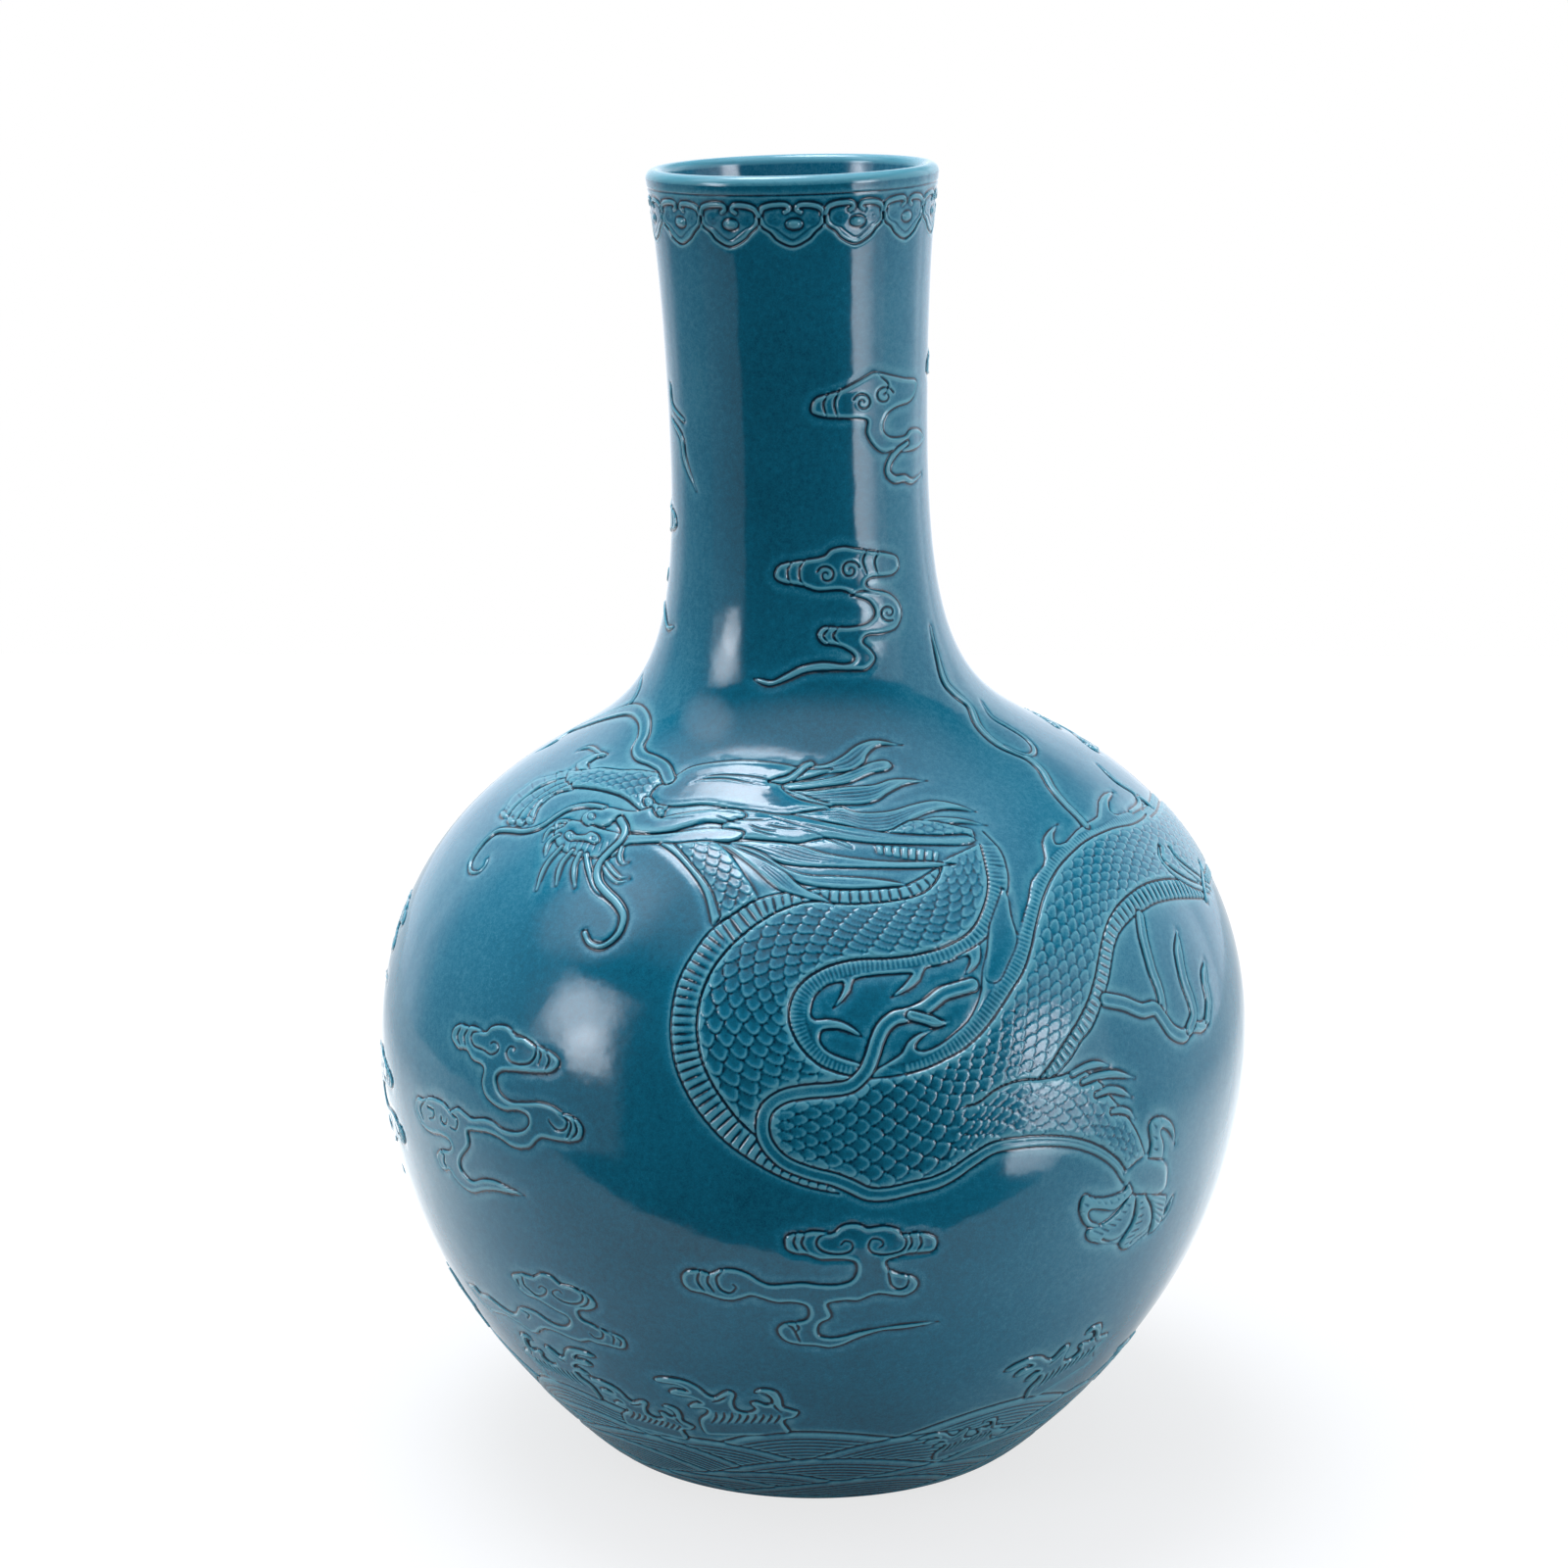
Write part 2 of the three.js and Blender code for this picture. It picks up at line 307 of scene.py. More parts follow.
up = np.pi / 2
foot, belly, root = (foot_radius, 0), (belly_radius, belly_height), (root_radius, root_height)
waist, lip = (neck_radius, waist_height), (lip_radius, overall_height)
profile_r, profile_z = np.concatenate([
    span(foot, foot_rise, belly, up, (0.065, 0.544)),
    span(belly, up, root, np.pi - root_rise, (0.68, 0.155)),
    span(root, np.pi - root_rise, waist, up, (0.34, 0.74)),
    span(waist, up, lip, up - lip_flare, (0.12, 0.33)), [lip]]).T


def leaned(x, z):
    """Turns a level about the depth axis and shifts it with the leaning centre line."""
    start = belly_height - lean_span / 2
    share = np.clip((z - start) / lean_span, 0, 1)
    angle = neck_lean * (3 * share ** 2 - 2 * share ** 3)
    shift = neck_lean * (lean_span * (share ** 3 - share ** 4 / 2) + np.maximum(z - start - lean_span, 0))
    return x * np.cos(angle) - shift, z + x * np.sin(angle)


# The carving is held on a lattice of columns round the vase and rows up its wall. A row
# step is as long as the column step beside it, so that a drawn shape keeps its form.
columns = 2400
coarse = 8
cell_turn = 2 * np.pi / columns
lip_level = overall_height - wall_at_lip / 2
keep = (profile_z >= glaze_start) & (profile_z <= lip_level)
wall_r, wall_z = profile_r[keep], profile_z[keep]
climb_steps = np.hypot(np.diff(wall_r), np.diff(wall_z)) / (wall_r[1:] + wall_r[:-1]) * 2
climb = np.concatenate([[0], np.cumsum(climb_steps)])
rows = int(round(climb[-1] / cell_turn / coarse)) * coarse
row_climb = climb[-1] * np.arange(rows + 1) / rows
row_r, row_z = np.interp(row_climb, climb, wall_r), np.interp(row_climb, climb, wall_z)
cell = row_r * cell_turn
relief = np.zeros((rows + 1, columns), np.float32)


def place(turn, level):
    """Lattice place of a turn in degrees from the front, to the right, and a level in mm."""
    turn, level = np.broadcast_arrays(np.asarray(turn, float), np.asarray(level, float))
    row = np.interp(np.interp(level, wall_z, climb), row_climb, np.arange(rows + 1))
    return np.stack([turn / 360 * columns + columns / 2, row], -1)


# The dragon's scaled neck runs down behind its head into the loop, with a smooth band along
# it. It is cut in the leather-hard clay, as all the carving is: fields stand proud with a
# groove round them, and lines are rounded cuts with a faint burr on each side.
def seen(px):
    """Lattice places of photo pixels: each sight line is followed until it meets the wall."""
    px = np.asarray(px, float)
    across, above = (px[..., 0] - frame_px / 2) / focal_px, (frame_px / 2 - px[..., 1]) / focal_px
    ahead = np.cos(eye_pitch) + above * np.sin(eye_pitch)
    dz = above * np.cos(eye_pitch) - np.sin(eye_pitch)
    dx = across * np.cos(eye_yaw) - ahead * np.sin(eye_yaw)
    dy = across * np.sin(eye_yaw) + ahead * np.cos(eye_yaw)
    reach = np.full(across.shape, eye_back - belly_radius * 1.02)
    sight_steps, share_of_gap, longest_step = 260, 0.6, 12
    for _ in range(sight_steps):
        x, y, z = dx * reach, dy * reach - eye_back, eye_height + dz * reach
        level_x, level_z = x, z
        for _ in range(3):
            lean_x, lean_z = leaned(level_x, level_z)
            level_x, level_z = level_x + x - lean_x, level_z + z - lean_z
        gap = np.hypot(level_x, y) - np.interp(level_z, profile_z, profile_r, left=0, right=0)
        reach = reach + np.clip(gap * share_of_gap, 0, longest_step)
    return place(np.degrees(np.arctan2(level_x, -y)), level_z)


def smooth(points, closed=False, fine=6):
    """Catmull-Rom curve through points: each span blends its four nearest points."""
    p = np.asarray(points, float)
    p = (np.concatenate([p[-1:], p, p[:2]]) if closed
         else np.concatenate([2 * p[:1] - p[1:2], p, 2 * p[-1:] - p[-2:-1]]))
    t = np.arange(fine)[None, :, None] / fine
    a, b, c, d = (p[k:len(p) - 3 + k, None] for k in range(4))
    curve = 2 * b + (c - a) * t + (2 * a - 5 * b + 4 * c - d) * t ** 2 + (3 * b - a - 3 * c + d) * t ** 3
    curve = (curve / 2).reshape(-1, p.shape[1])
    return curve if closed else np.concatenate([curve, p[-2:-1]])


def drawn(points, closed=False, fine=6):
    """A smooth path on the lattice through photo pixels."""
    return smooth(seen(points), closed, fine)


def around(path, reach):
    """Rows and columns of the lattice within reach, in mm, of a path."""
    low, high = max(int(path[:, 1].min()) - 1, 0), min(int(path[:, 1].max()) + 2, rows)
    for _ in range(2):
        widest = reach / cell[low:high + 1].min()
        low, high = max(int(low - widest), 0), min(int(high + widest), rows)
    left, right = int(path[:, 0].min() - widest) - 1, int(path[:, 0].max() + widest) + 2
    return np.arange(low, high + 1), np.arange(left, right + 1)


def near(path, reach):
    """Distance in mm from the lattice points round a path to it, and how far along it."""
    r, c = around(path, reach)
    away = np.full((len(r), len(c)), np.float32(9 * reach))
    along = np.zeros_like(away)
    done = 0.0
    for (x0, y0), (x1, y1) in zip(path[:-1], path[1:]):
        scale = cell[int(np.clip((y0 + y1) / 2, 0, rows))]
        steps = np.hypot(x1 - x0, y1 - y0)
        if steps < 1e-6:
            continue
        pad = reach / scale * 1.1 + 1
        j0, j1 = int(max(min(y0, y1) - pad - r[0], 0)), int(max(max(y0, y1) + pad - r[0], 0)) + 2
        i0, i1 = int(max(min(x0, x1) - pad - c[0], 0)), int(max(x0, x1) + pad - c[0]) + 2
        yy, xx = r[j0:j1, None] - y0, c[None, i0:i1] - x0
        t = np.clip((xx * (x1 - x0) + yy * (y1 - y0)) / steps ** 2, 0, 1)
        d = np.hypot(xx - t * (x1 - x0), yy - t * (y1 - y0)) * scale
        part, where = away[j0:j1, i0:i1], along[j0:j1, i0:i1]
        closer = d < part
        part[closer] = d[closer]
        where[closer] = (done + t * steps * scale)[closer]
        done += steps * scale
    return (r[:, None], c[None] % columns), away, along, done


def inside(path, r, c):
    """Which lattice points lie inside a closed path, by counting crossings along each row."""
    crossings = np.zeros((len(r), len(c) + 1), np.int32)
    for (x0, y0), (x1, y1) in zip(path, np.roll(path, -1, 0)):
        low, high = min(y0, y1), max(y0, y1)
        j = np.arange(max(int(np.ceil(low - r[0])), 0), min(int(np.ceil(high - r[0])), len(r)))
        if y0 == y1 or not len(j):
            continue
        x = x0 + (r[0] + j - y0) * (x1 - x0) / (y1 - y0)
        np.add.at(crossings, (j, np.clip(np.ceil(x - c[0]), 0, len(c)).astype(int)), 1)
    return (np.cumsum(crossings, 1)[:, :-1] % 2).astype(bool)


def bell(x):
    """A smooth hump: one at nought, nothing past one."""
    return np.clip(1 - x * x, 0, 1) ** 2


def ease(x):
    """Rises from nought to one with level ends."""
    x = np.clip(x, 0, 1)
    return x * x * (3 - 2 * x)


def taper(along, length, start, end):
    """Full width in the middle, easing down to a share of it at each end."""
    head = start + (1 - start) * ease(along / (0.25 * length + 1e-6))
    tail = end + (1 - end) * ease((length - along) / (0.45 * length + 1e-6))
    return head * tail


def line(path, width=1.1, depth=0.55, start=0.6, end=0.35, rim=0.12):
    """An incised line: a rounded groove with a faint raised burr on each side."""
    at, away, along, length = near(path, width * 1.6)
    full = taper(along, length, start, end)
    half = width / 2 * full + 0.1
    relief[at] += (rim * bell((away - half * 1.25) / (width * 0.45)) - depth * bell(away / half)) * full


def panel(path, rise=0.7, edge=2.2, cut=0.6, cut_width=1.0, rim=0.15, sink=0.0):
    """A raised field inside a closed outline, with a soft shoulder and a groove round it.
    It wipes what lay under it; sink dishes its middle."""
    loop = np.concatenate([path, path[:1]])
    reach = max(edge, 3 * cut_width) + 1
    at, away, along, length = near(loop, reach)
    within = inside(path, *around(loop, reach))
    signed = np.where(within, away, -away)
    shoulder = np.where(within, 0.35 + 0.65 * ease(signed / edge), 0)
    field = (rise * shoulder + rim * bell((signed - cut_width * 0.9) / (cut_width * 0.6))
             - sink * ease(signed / edge - 0.6))
    groove = -cut * bell(signed / (cut_width * 0.6))
    scoop = -0.15 * bell((signed + cut_width) / (cut_width * 2.4)) * ~within
    cover = ease(signed / 0.5 + 0.5)
    relief[at] = relief[at] * (1 - cover) + field * cover + groove + scoop


def ruled(a, b):
    """A band between two lines of paired places: for each lattice point how far along its
    middle it is in mm, how far across as a share, and the band's width in mm there. A fine
    net of the band is spread over the lattice and averaged."""
    middle = (a + b) / 2
    scale = cell[np.clip(middle[:, 1].astype(int), 0, rows)]
    steps = np.hypot(*np.diff(middle, axis=0).T)
    along = np.concatenate([[0], np.cumsum(steps * (scale[1:] + scale[:-1]) / 2)])
    width = np.hypot(*(b - a).T) * scale
    t = np.linspace(0, len(a) - 1, max(int(steps.sum() * 2.6), 8))
    pick = lambda v: np.stack([np.interp(t, np.arange(len(a)), v[:, k]) for k in range(2)], -1)
    a, b = pick(a), pick(b)
    along, width = (np.interp(t, np.arange(len(along)), v) for v in (along, width))
    share = np.linspace(0, 1, max(int(np.hypot(*(b - a).T).max() * 2.6), 8))
    x = a[:, None, 0] + (b - a)[:, None, 0] * share
    y = a[:, None, 1] + (b - a)[:, None, 1] * share
    layers = [np.broadcast_to(v, x.shape) for v in (1.0, along[:, None], share, width[:, None])]
    r = np.arange(max(int(y.min()), 0), min(int(y.max()) + 2, rows) + 1)
    c = np.arange(int(x.min()) - 1, int(x.max()) + 3)
    sums = np.zeros((4, len(r), len(c)))
    for dy in (0, 1):
        for dx in (0, 1):
            j, i = (np.floor(v).astype(int) + d - o[0] for v, d, o in ((y, dy, r), (x, dx, c)))
            weight = (1 - np.abs(y - r[0] - j)) * (1 - np.abs(x - c[0] - i))
            ok = (j >= 0) & (j < len(r)) & (i >= 0) & (i < len(c))
            index = j * len(c) + i
            for total, layer in zip(sums, layers):
                total += np.bincount(index[ok], (weight * layer)[ok], total.size).reshape(total.shape)
    hit = sums[0] > 0.8
    return (r[:, None], c[None] % columns), hit, *(sums[1:] / np.where(hit, sums[0], 1))


def paired(side_a, side_b, count=240):
    """Two lines cut at the same shares of their lengths."""
    cut = []
    for side in (side_a, side_b):
        share = np.concatenate([[0], np.cumsum(np.hypot(*np.diff(side, axis=0).T))])
        t = np.linspace(0, share[-1], count)
        cut.append(np.stack([np.interp(t, share, side[:, k]) for k in (0, 1)], -1))
    return cut


def scales(along, across, pitch, rise=0.5, cut=0.7, long=1.5):
    """Overlapping scales in staggered rows, across counted in scales. A scale's free edge is
    half an ellipse, and the first scale from the head that holds a point covers the rest."""
    height = np.zeros(along.shape)
    bare = np.ones(along.shape, bool)
    first = np.floor(along / pitch - long)
    for step in range(5):
        k = first + step
        beta = 2 * (np.mod(across - np.mod(k, 2) / 2, 1) - 0.5)
        edge = long * pitch * np.sqrt(np.clip(1 - np.abs(beta) ** 1.8, 0, 1)) - along + k * pitch
        here = bare & (edge >= 0)
        lifted = rise * (1 - 0.7 * np.clip(edge / (1.9 * pitch), 0, 1)) + 0.16 * bell((edge - 1.15) / 0.6)
        height = np.where(here, lifted - cut * np.clip(1 - edge / 0.85, 0, 1) ** 1.3, height)
        bare &= ~here
    return height


def arched(share):
    """A half circle over a band: nought at its edges and one in its middle."""
    return np.sqrt(np.clip(1 - (2 * share - 1) ** 2, 0, 1))


def scaled_band(a, b, pitch, across, base=0.3, crown=0.4):
    """Scales over a band between two paired lines, swelling a little in its middle."""
    at, hit, along, share, width = ruled(a, b)
    height = base + crown * arched(share) + scales(along, share * across, pitch)
    edge = ease(np.minimum(share, 1 - share) * width / 0.9)
    relief[at] = np.where(hit, height * edge, relief[at])


def lock(upper, lower, hairs=3, rise=0.6, edge=1.2):
    """A lock of hair or a finger between its two edges, from root to tip, with fine cuts."""
    top, low = paired(drawn(upper), drawn(lower), 60)
    panel(np.concatenate([top, low[::-1]]), rise, edge, 0.55, 0.9, 0.2)
    for share in np.arange(1, hairs + 1) / (hairs + 1):
        line(top + (low - top) * share, 0.75, 0.32, 0.4, 0.3, 0.08)


scaled_band(*paired(drawn([(680, 854), (699, 876), (720, 904), (733, 938)]),
                    drawn([(720, 850), (742, 868), (768, 905), (776, 925)]), 60), 4.4, 3)
lock([(669, 858), (692, 876), (716, 907), (727, 945)], [(684, 856), (703, 878), (725, 906), (736, 936)],
     0, 0.5)

# The dragon's body comes from under its mane, turns back on itself in a wide loop and goes
# up over the right flank. Its belly plates lie along one side and its fin along the other.
def between(a, b):
    """The strip between two lines: where it is, how far along the first line in mm, how far
    across as a share, and its width there in mm. Crossways is square to the first line."""
    shape = np.concatenate([a, b[::-1]])
    reach = 1 + 1.1 * np.max([np.hypot(*(a - p).T).min() * cell[int(p[1])] for p in b[::4]])
    at, away, along, _ = near(a, reach)
    rows_in, columns_in = around(a, reach)
    other = np.full(away.shape, np.float32(9 * reach))
    (far_rows, far_columns), far, _, _ = near(b, reach)
    j, i = np.nonzero(inside(shape, rows_in, columns_in))
    fj, fi = rows_in[j] - far_rows[0, 0], columns_in[i] - around(b, reach)[1][0]
    ok = (fj >= 0) & (fj < far.shape[0]) & (fi >= 0) & (fi < far.shape[1])
    other[j[ok], i[ok]] = far[fj[ok], fi[ok]]
    within = np.zeros(away.shape, bool)
    within[j, i] = True
    width = away + other
    return at, within & (other < 8 * reach), along, away / np.maximum(width, 1e-6), width


def ribbed_band(a, b, pitch, rise=0.55, base=0.15):
    """Belly plates between two lines: rounded bars with a narrow cut between them."""
    at, hit, along, share, width = between(a, b)
    bar = np.abs(2 * np.mod(along / pitch, 1) - 1)
    height = base + rise * (1 - bar ** 3) * (0.55 + 0.45 * arched(share))
    height -= 0.35 * ease((bar - 0.72) / 0.28)
    relief[at] = np.where(hit, height * ease(np.minimum(share, 1 - share) * width / 0.6), relief[at])


def hatched_band(a, b, pitch, base=0.35, cut=0.32):
    """A fin's web between two lines, ruled across with fine cuts."""
    at, hit, along, share, width = between(a, b)
    ray = np.abs(2 * np.mod(along / pitch, 1) - 1)
    height = base - cut * ease((ray - 0.4) / 0.6)
    relief[at] = np.where(hit, height * ease(np.minimum(share, 1 - share) * width / 0.7), relief[at])


def outline(*points):
    """A closed shape through photo pixels."""
    return drawn(points, closed=True, fine=4)


belly_line = [(962, 880), (959, 891), (953, 902), (941, 912), (921, 918), (891, 922), (860, 923),
    (832, 920), (808, 925), (782, 937), (755, 957), (733, 981), (719, 1007), (712, 1035), (712, 1060),
    (718, 1087), (732, 1114), (753, 1142), (775, 1162), (800, 1180), (830, 1195)]
spine_line = [(1000, 862), (1005, 882), (1008, 903), (1003, 927), (990, 950), (966, 965), (936, 974),
    (906, 978), (876, 979), (848, 985), (825, 997), (811, 1012), (805, 1030), (806, 1046), (812, 1061),
    (822, 1075), (836, 1087), (852, 1094), (868, 1098), (885, 1099), (903, 1099)]
plate_line = [(955, 886), (946, 892), (938, 897), (927, 902), (916, 905), (893, 907), (864, 908),
    (836, 907), (813, 910), (795, 912), (771, 919), (747, 934), (725, 950), (707, 974), (693, 1000),
    (686, 1030), (685, 1060), (691, 1092), (708, 1127), (735, 1160), (762, 1181), (793, 1199),
    (824, 1211), (856, 1218)]
fin_line = [(1003, 848), (1021, 868), (1029, 895), (1026, 921), (1016, 946), (999, 963), (975, 977),
    (945, 985), (912, 990), (880, 994), (852, 1001), (834, 1013), (824, 1029), (824, 1046), (831, 1063),
    (845, 1078), (862, 1086), (880, 1089)]
loop_web = [(999, 960), (1001, 972), (999, 983), (991, 991), (985, 994), (990, 983), (988, 975),
    (977, 978), (960, 984), (944, 988), (939, 1000), (927, 1010), (909, 1018), (921, 1007), (929, 997),
    (929, 993), (906, 994), (885, 996), (871, 1000), (868, 1010), (861, 1020), (850, 1029), (857, 1018),
    (861, 1008), (859, 1002), (845, 1005), (836, 1011), (829, 1022), (827, 1035), (832, 1041),
    (845, 1040), (860, 1043), (872, 1050), (880, 1058), (868, 1054), (855, 1050), (840, 1051),
    (836, 1058), (838, 1066), (846, 1074), (860, 1080), (880, 1086)]
web_form = dict(rise=0.3, edge=0.8, cut=0.6, cut_width=0.9, rim=0.2, sink=0.1)
panel(np.concatenate([drawn(spine_line[3:-1]), smooth(seen(loop_web), fine=2)[::-1]]), **web_form)
hatched_band(drawn(spine_line), drawn(fin_line), 2.0)
ribbed_band(drawn(plate_line), drawn(belly_line), 3.9)
scaled_band(smooth(seen(belly_line), fine=12), smooth(seen(spine_line), fine=12), 4.9, 5)
for side, width in ((belly_line, 1.1), (spine_line, 1.2), (plate_line, 1.2), (fin_line[:7], 1.0)):
    line(drawn(side), width, 0.6, 1, 1)

flank_belly = [(795, 1180), (815, 1194), (845, 1206), (880, 1214), (928, 1211), (972, 1195), (1012, 1158),
    (1048, 1114), (1068, 1090), (1085, 1064), (1098, 1044), (1110, 1020), (1117, 996), (1121, 976),
    (1125, 957), (1132, 937), (1144, 920), (1161, 906), (1178, 899), (1197, 897), (1212, 900),
    (1228, 908)]
flank_spine = [(790, 1126), (822, 1116), (856, 1112), (880, 1102), (925, 1096), (946, 1090), (965, 1081),
    (983, 1071), (1001, 1055), (1016, 1036), (1031, 1013), (1044, 992), (1052, 968), (1057, 945),
    (1065, 915), (1077, 890), (1092, 872), (1110, 857), (1134, 846), (1156, 841), (1168, 833),
    (1172, 820)]
flank_plates = [(1060, 1104), (1075, 1098), (1092, 1080), (1103, 1062), (1113, 1050), (1120, 1035),
    (1126, 1018), (1131, 1000), (1134, 983), (1137, 966), (1143, 951), (1154, 938), (1168, 928),
    (1181, 921), (1202, 917), (1229, 917)]
flank_fin = [(903, 1088), (932, 1083), (956, 1072), (973, 1059), (990, 1042), (1004, 1022), (1015, 1003),
    (1025, 985), (1036, 965), (1044, 939), (1051, 915), (1055, 898), (1064, 885), (1076, 870),
    (1091, 858), (1106, 849), (1122, 843), (1140, 832), (1158, 826)]
flank_web = [(897, 1090), (912, 1081), (921, 1074), (926, 1064), (938, 1055), (957, 1049), (946, 1055),
    (937, 1062), (934, 1070), (943, 1073), (958, 1067), (974, 1055), (988, 1042), (996, 1028),
    (1002, 1010), (1003, 991), (1008, 968), (1010, 944), (1021, 924), (1022, 905), (1028, 914),
    (1033, 938), (1040, 955), (1044, 940), (1050, 918), (1053, 899), (1063, 887), (1067, 875),
    (1064, 860), (1069, 849), (1080, 840), (1075, 850), (1077, 861), (1088, 859), (1098, 848),
    (1110, 839), (1120, 833), (1121, 818), (1127, 810), (1136, 808), (1131, 817), (1133, 828),
    (1141, 831), (1152, 828), (1161, 821)]
panel(np.concatenate([drawn(flank_spine[3:]), smooth(seen(flank_web), fine=2)[::-1]]), **web_form)
hatched_band(drawn(flank_spine[4:]), drawn(flank_fin), 2.0)
ribbed_band(drawn(flank_plates), drawn(flank_belly[7:]), 3.6)
scaled_band(smooth(seen(flank_belly), fine=12), smooth(seen(flank_spine), fine=12), 5.0, 6)
for side in (flank_belly[7:], flank_spine[4:], flank_plates):
    line(drawn(side), 1.1, 0.6, 1, 1)
window = outline((1023, 908), (1011, 940), (1009, 957), (1007, 980), (1005, 997), (1012, 1003),
    (1021, 1000), (1030, 982), (1037, 966), (1038, 955), (1032, 933), (1029, 915))
panel(window, -0.15, 0.8, 0.5, 0.9, 0.1)

# A long ribbon of flame curls round the thigh, and the fore leg reaches to the right. The
# ribbon is flat between two raised rims. The leg is scaled like the body, and its fingers
# are raised and cut across with short ribs.
def cord(path, width=3.0, height=0.8, start=0.7, end=0.25, cut=0.5, cut_width=0.9):
    """A raised cord with a groove cut along each side; it covers what lies under it."""
    at, away, along, length = near(path, width / 2 + 3 * cut_width)
    half = width / 2 * taper(along, length, start, end)
    cover = ease((half + cut_width * 0.9 - away) / (cut_width * 0.6))
    body = height * np.sqrt(np.clip(1 - (away / (half + 0.2)) ** 2, 0, 1))
    body = body * np.clip(half / width * 2 + 0.35, 0, 1)
    groove = -cut * bell((away - half - cut_width * 0.35) / (cut_width * 0.75))
    scoop = -0.15 * bell((away - half - cut_width) / (cut_width * 2.2)) * (1 - cover)
    relief[at] = relief[at] * (1 - cover) + body + groove + scoop


def ribbon(path, width=4.6, rise=0.3, rim=0.42, cut=0.55, start=1, end=0.3):
    """A flat ribbon with a raised rim along each side and a groove outside it."""
    at, away, along, length = near(path, width / 2 + 3)
    half = width / 2 * taper(along, length, start, end)
    cover = ease((half + 0.9 - away) / 0.6)
    body = rise * ease((half - away) / 0.4 + 0.6) + rim * bell((away - half + 0.45) / 0.55)
    body = body * ease(half / 0.9)
    groove = -cut * bell((away - half - 0.5) / 0.65) * ease(half / 0.6)
    scoop = -0.14 * bell((away - half - 1) / 2) * (1 - cover)
    relief[at] = relief[at] * (1 - cover) + body + groove + scoop


leg_top = [(984, 1129), (999, 1124), (1016, 1111), (1040, 1102), (1062, 1101), (1084, 1097), (1096, 1093),
    (1110, 1094), (1124, 1106), (1134, 1120), (1148, 1136), (1160, 1156), (1168, 1178)]
leg_bottom = [(960, 1206), (982, 1191), (999, 1177), (1018, 1168), (1038, 1164), (1068, 1161),
    (1093, 1163), (1112, 1167), (1128, 1176), (1140, 1186), (1148, 1197), (1153, 1205), (1154, 1212)]
scaled_band(*paired(drawn(leg_bottom), drawn(leg_top), 120), 5.0, 5, base=0.4)
line(drawn(leg_top), 1.2, 0.6, 0.5, 1)
ribbon(drawn([(992, 1005), (975, 1010), (961, 1015), (943, 1029), (925, 1036), (913, 1039), (902, 1048),
    (895, 1062), (890, 1078), (883, 1094), (868, 1108), (847, 1112), (822, 1114), (799, 1119),
    (783, 1131), (778, 1150), (783, 1168), (800, 1186), (826, 1197), (850, 1203), (868, 1210),
    (886, 1218), (906, 1218), (932, 1212), (956, 1206), (975, 1196), (992, 1184), (1014, 1171),
    (1040, 1166), (1068, 1164), (1096, 1166), (1120, 1174), (1138, 1187), (1148, 1202)]), 4.8, end=0.6)
ribbon(drawn([(930, 1036), (945, 1040), (958, 1044), (968, 1043)]), 3.4, end=0.1)
for elbow in ([(1094, 1096), (1110, 1088), (1122, 1086), (1132, 1088)],
        [(1104, 1104), (1120, 1098), (1138, 1096), (1158, 1100)],
        [(1118, 1117), (1132, 1112), (1144, 1114), (1155, 1120)],
        [(1134, 1134), (1143, 1133), (1152, 1136), (1158, 1142)]):
    cord(drawn(elbow), 2.6, 0.6, 0.9, 0.1, 0.5, 0.8)
panel(outline((1146, 1198), (1158, 1184), (1169, 1178), (1182, 1180), (1190, 1190), (1190, 1204),
    (1187, 1214), (1174, 1222), (1160, 1220), (1150, 1212)), 0.75, 2.5, 0.12, 0.8)
line(drawn([(1168, 1180), (1182, 1184), (1189, 1183)]), 0.9, 0.45, 0.3, 0.8)


def finger(upper, lower, ribs, reach=0.45):
    """A finger between its two edges, with short ribs cut in from the upper one."""
    lock(upper, lower, 0, 0.75, 1.6)
    top, low = paired(drawn(upper), drawn(lower), 60)
    for k in np.linspace(6, 38, ribs).astype(int):
        across = low[k] - top[k]
        line(np.array([top[k] + across * 0.12, top[k] + across * reach]), 0.9, 0.45, 1, 1)


finger([(1190, 1220), (1188, 1232), (1186, 1242), (1180, 1252), (1172, 1260)],
    [(1168, 1218), (1174, 1228), (1176, 1240), (1174, 1252), (1172, 1260)], 5, 0.9)
cord(drawn([(1186, 1243), (1191, 1235), (1197, 1221)]), 1.8, 0.6, 0.9, 0.3, 0.55, 0.8)
finger([(1158, 1219), (1159, 1234), (1155, 1248), (1147, 1261), (1142, 1270), (1147, 1275), (1160, 1267),
    (1171, 1258)],
    [(1168, 1218), (1174, 1232), (1174, 1246), (1167, 1256), (1156, 1264), (1152, 1269), (1160, 1266),
     (1171, 1258)], 8)
finger([(1153, 1216), (1146, 1229), (1136, 1240), (1124, 1249), (1111, 1254), (1108, 1262), (1116, 1268),
    (1142, 1270)],
    [(1159, 1220), (1156, 1238), (1150, 1252), (1142, 1262), (1132, 1266), (1124, 1264), (1128, 1267),
     (1142, 1270)], 8)
finger([(1152, 1206), (1146, 1215), (1132, 1221), (1118, 1222), (1107, 1219), (1102, 1228), (1102, 1240),
    (1110, 1252), (1126, 1251)],
    [(1156, 1216), (1146, 1227), (1136, 1235), (1124, 1234), (1114, 1234), (1110, 1238), (1112, 1245),
     (1116, 1248), (1126, 1251)], 8)
finger([(1171, 1182), (1174, 1168), (1172, 1150), (1177, 1141), (1188, 1140), (1197, 1149), (1199, 1168)],
    [(1186, 1182), (1187, 1168), (1184, 1156), (1186, 1151), (1192, 1154), (1196, 1160), (1199, 1168)], 5)

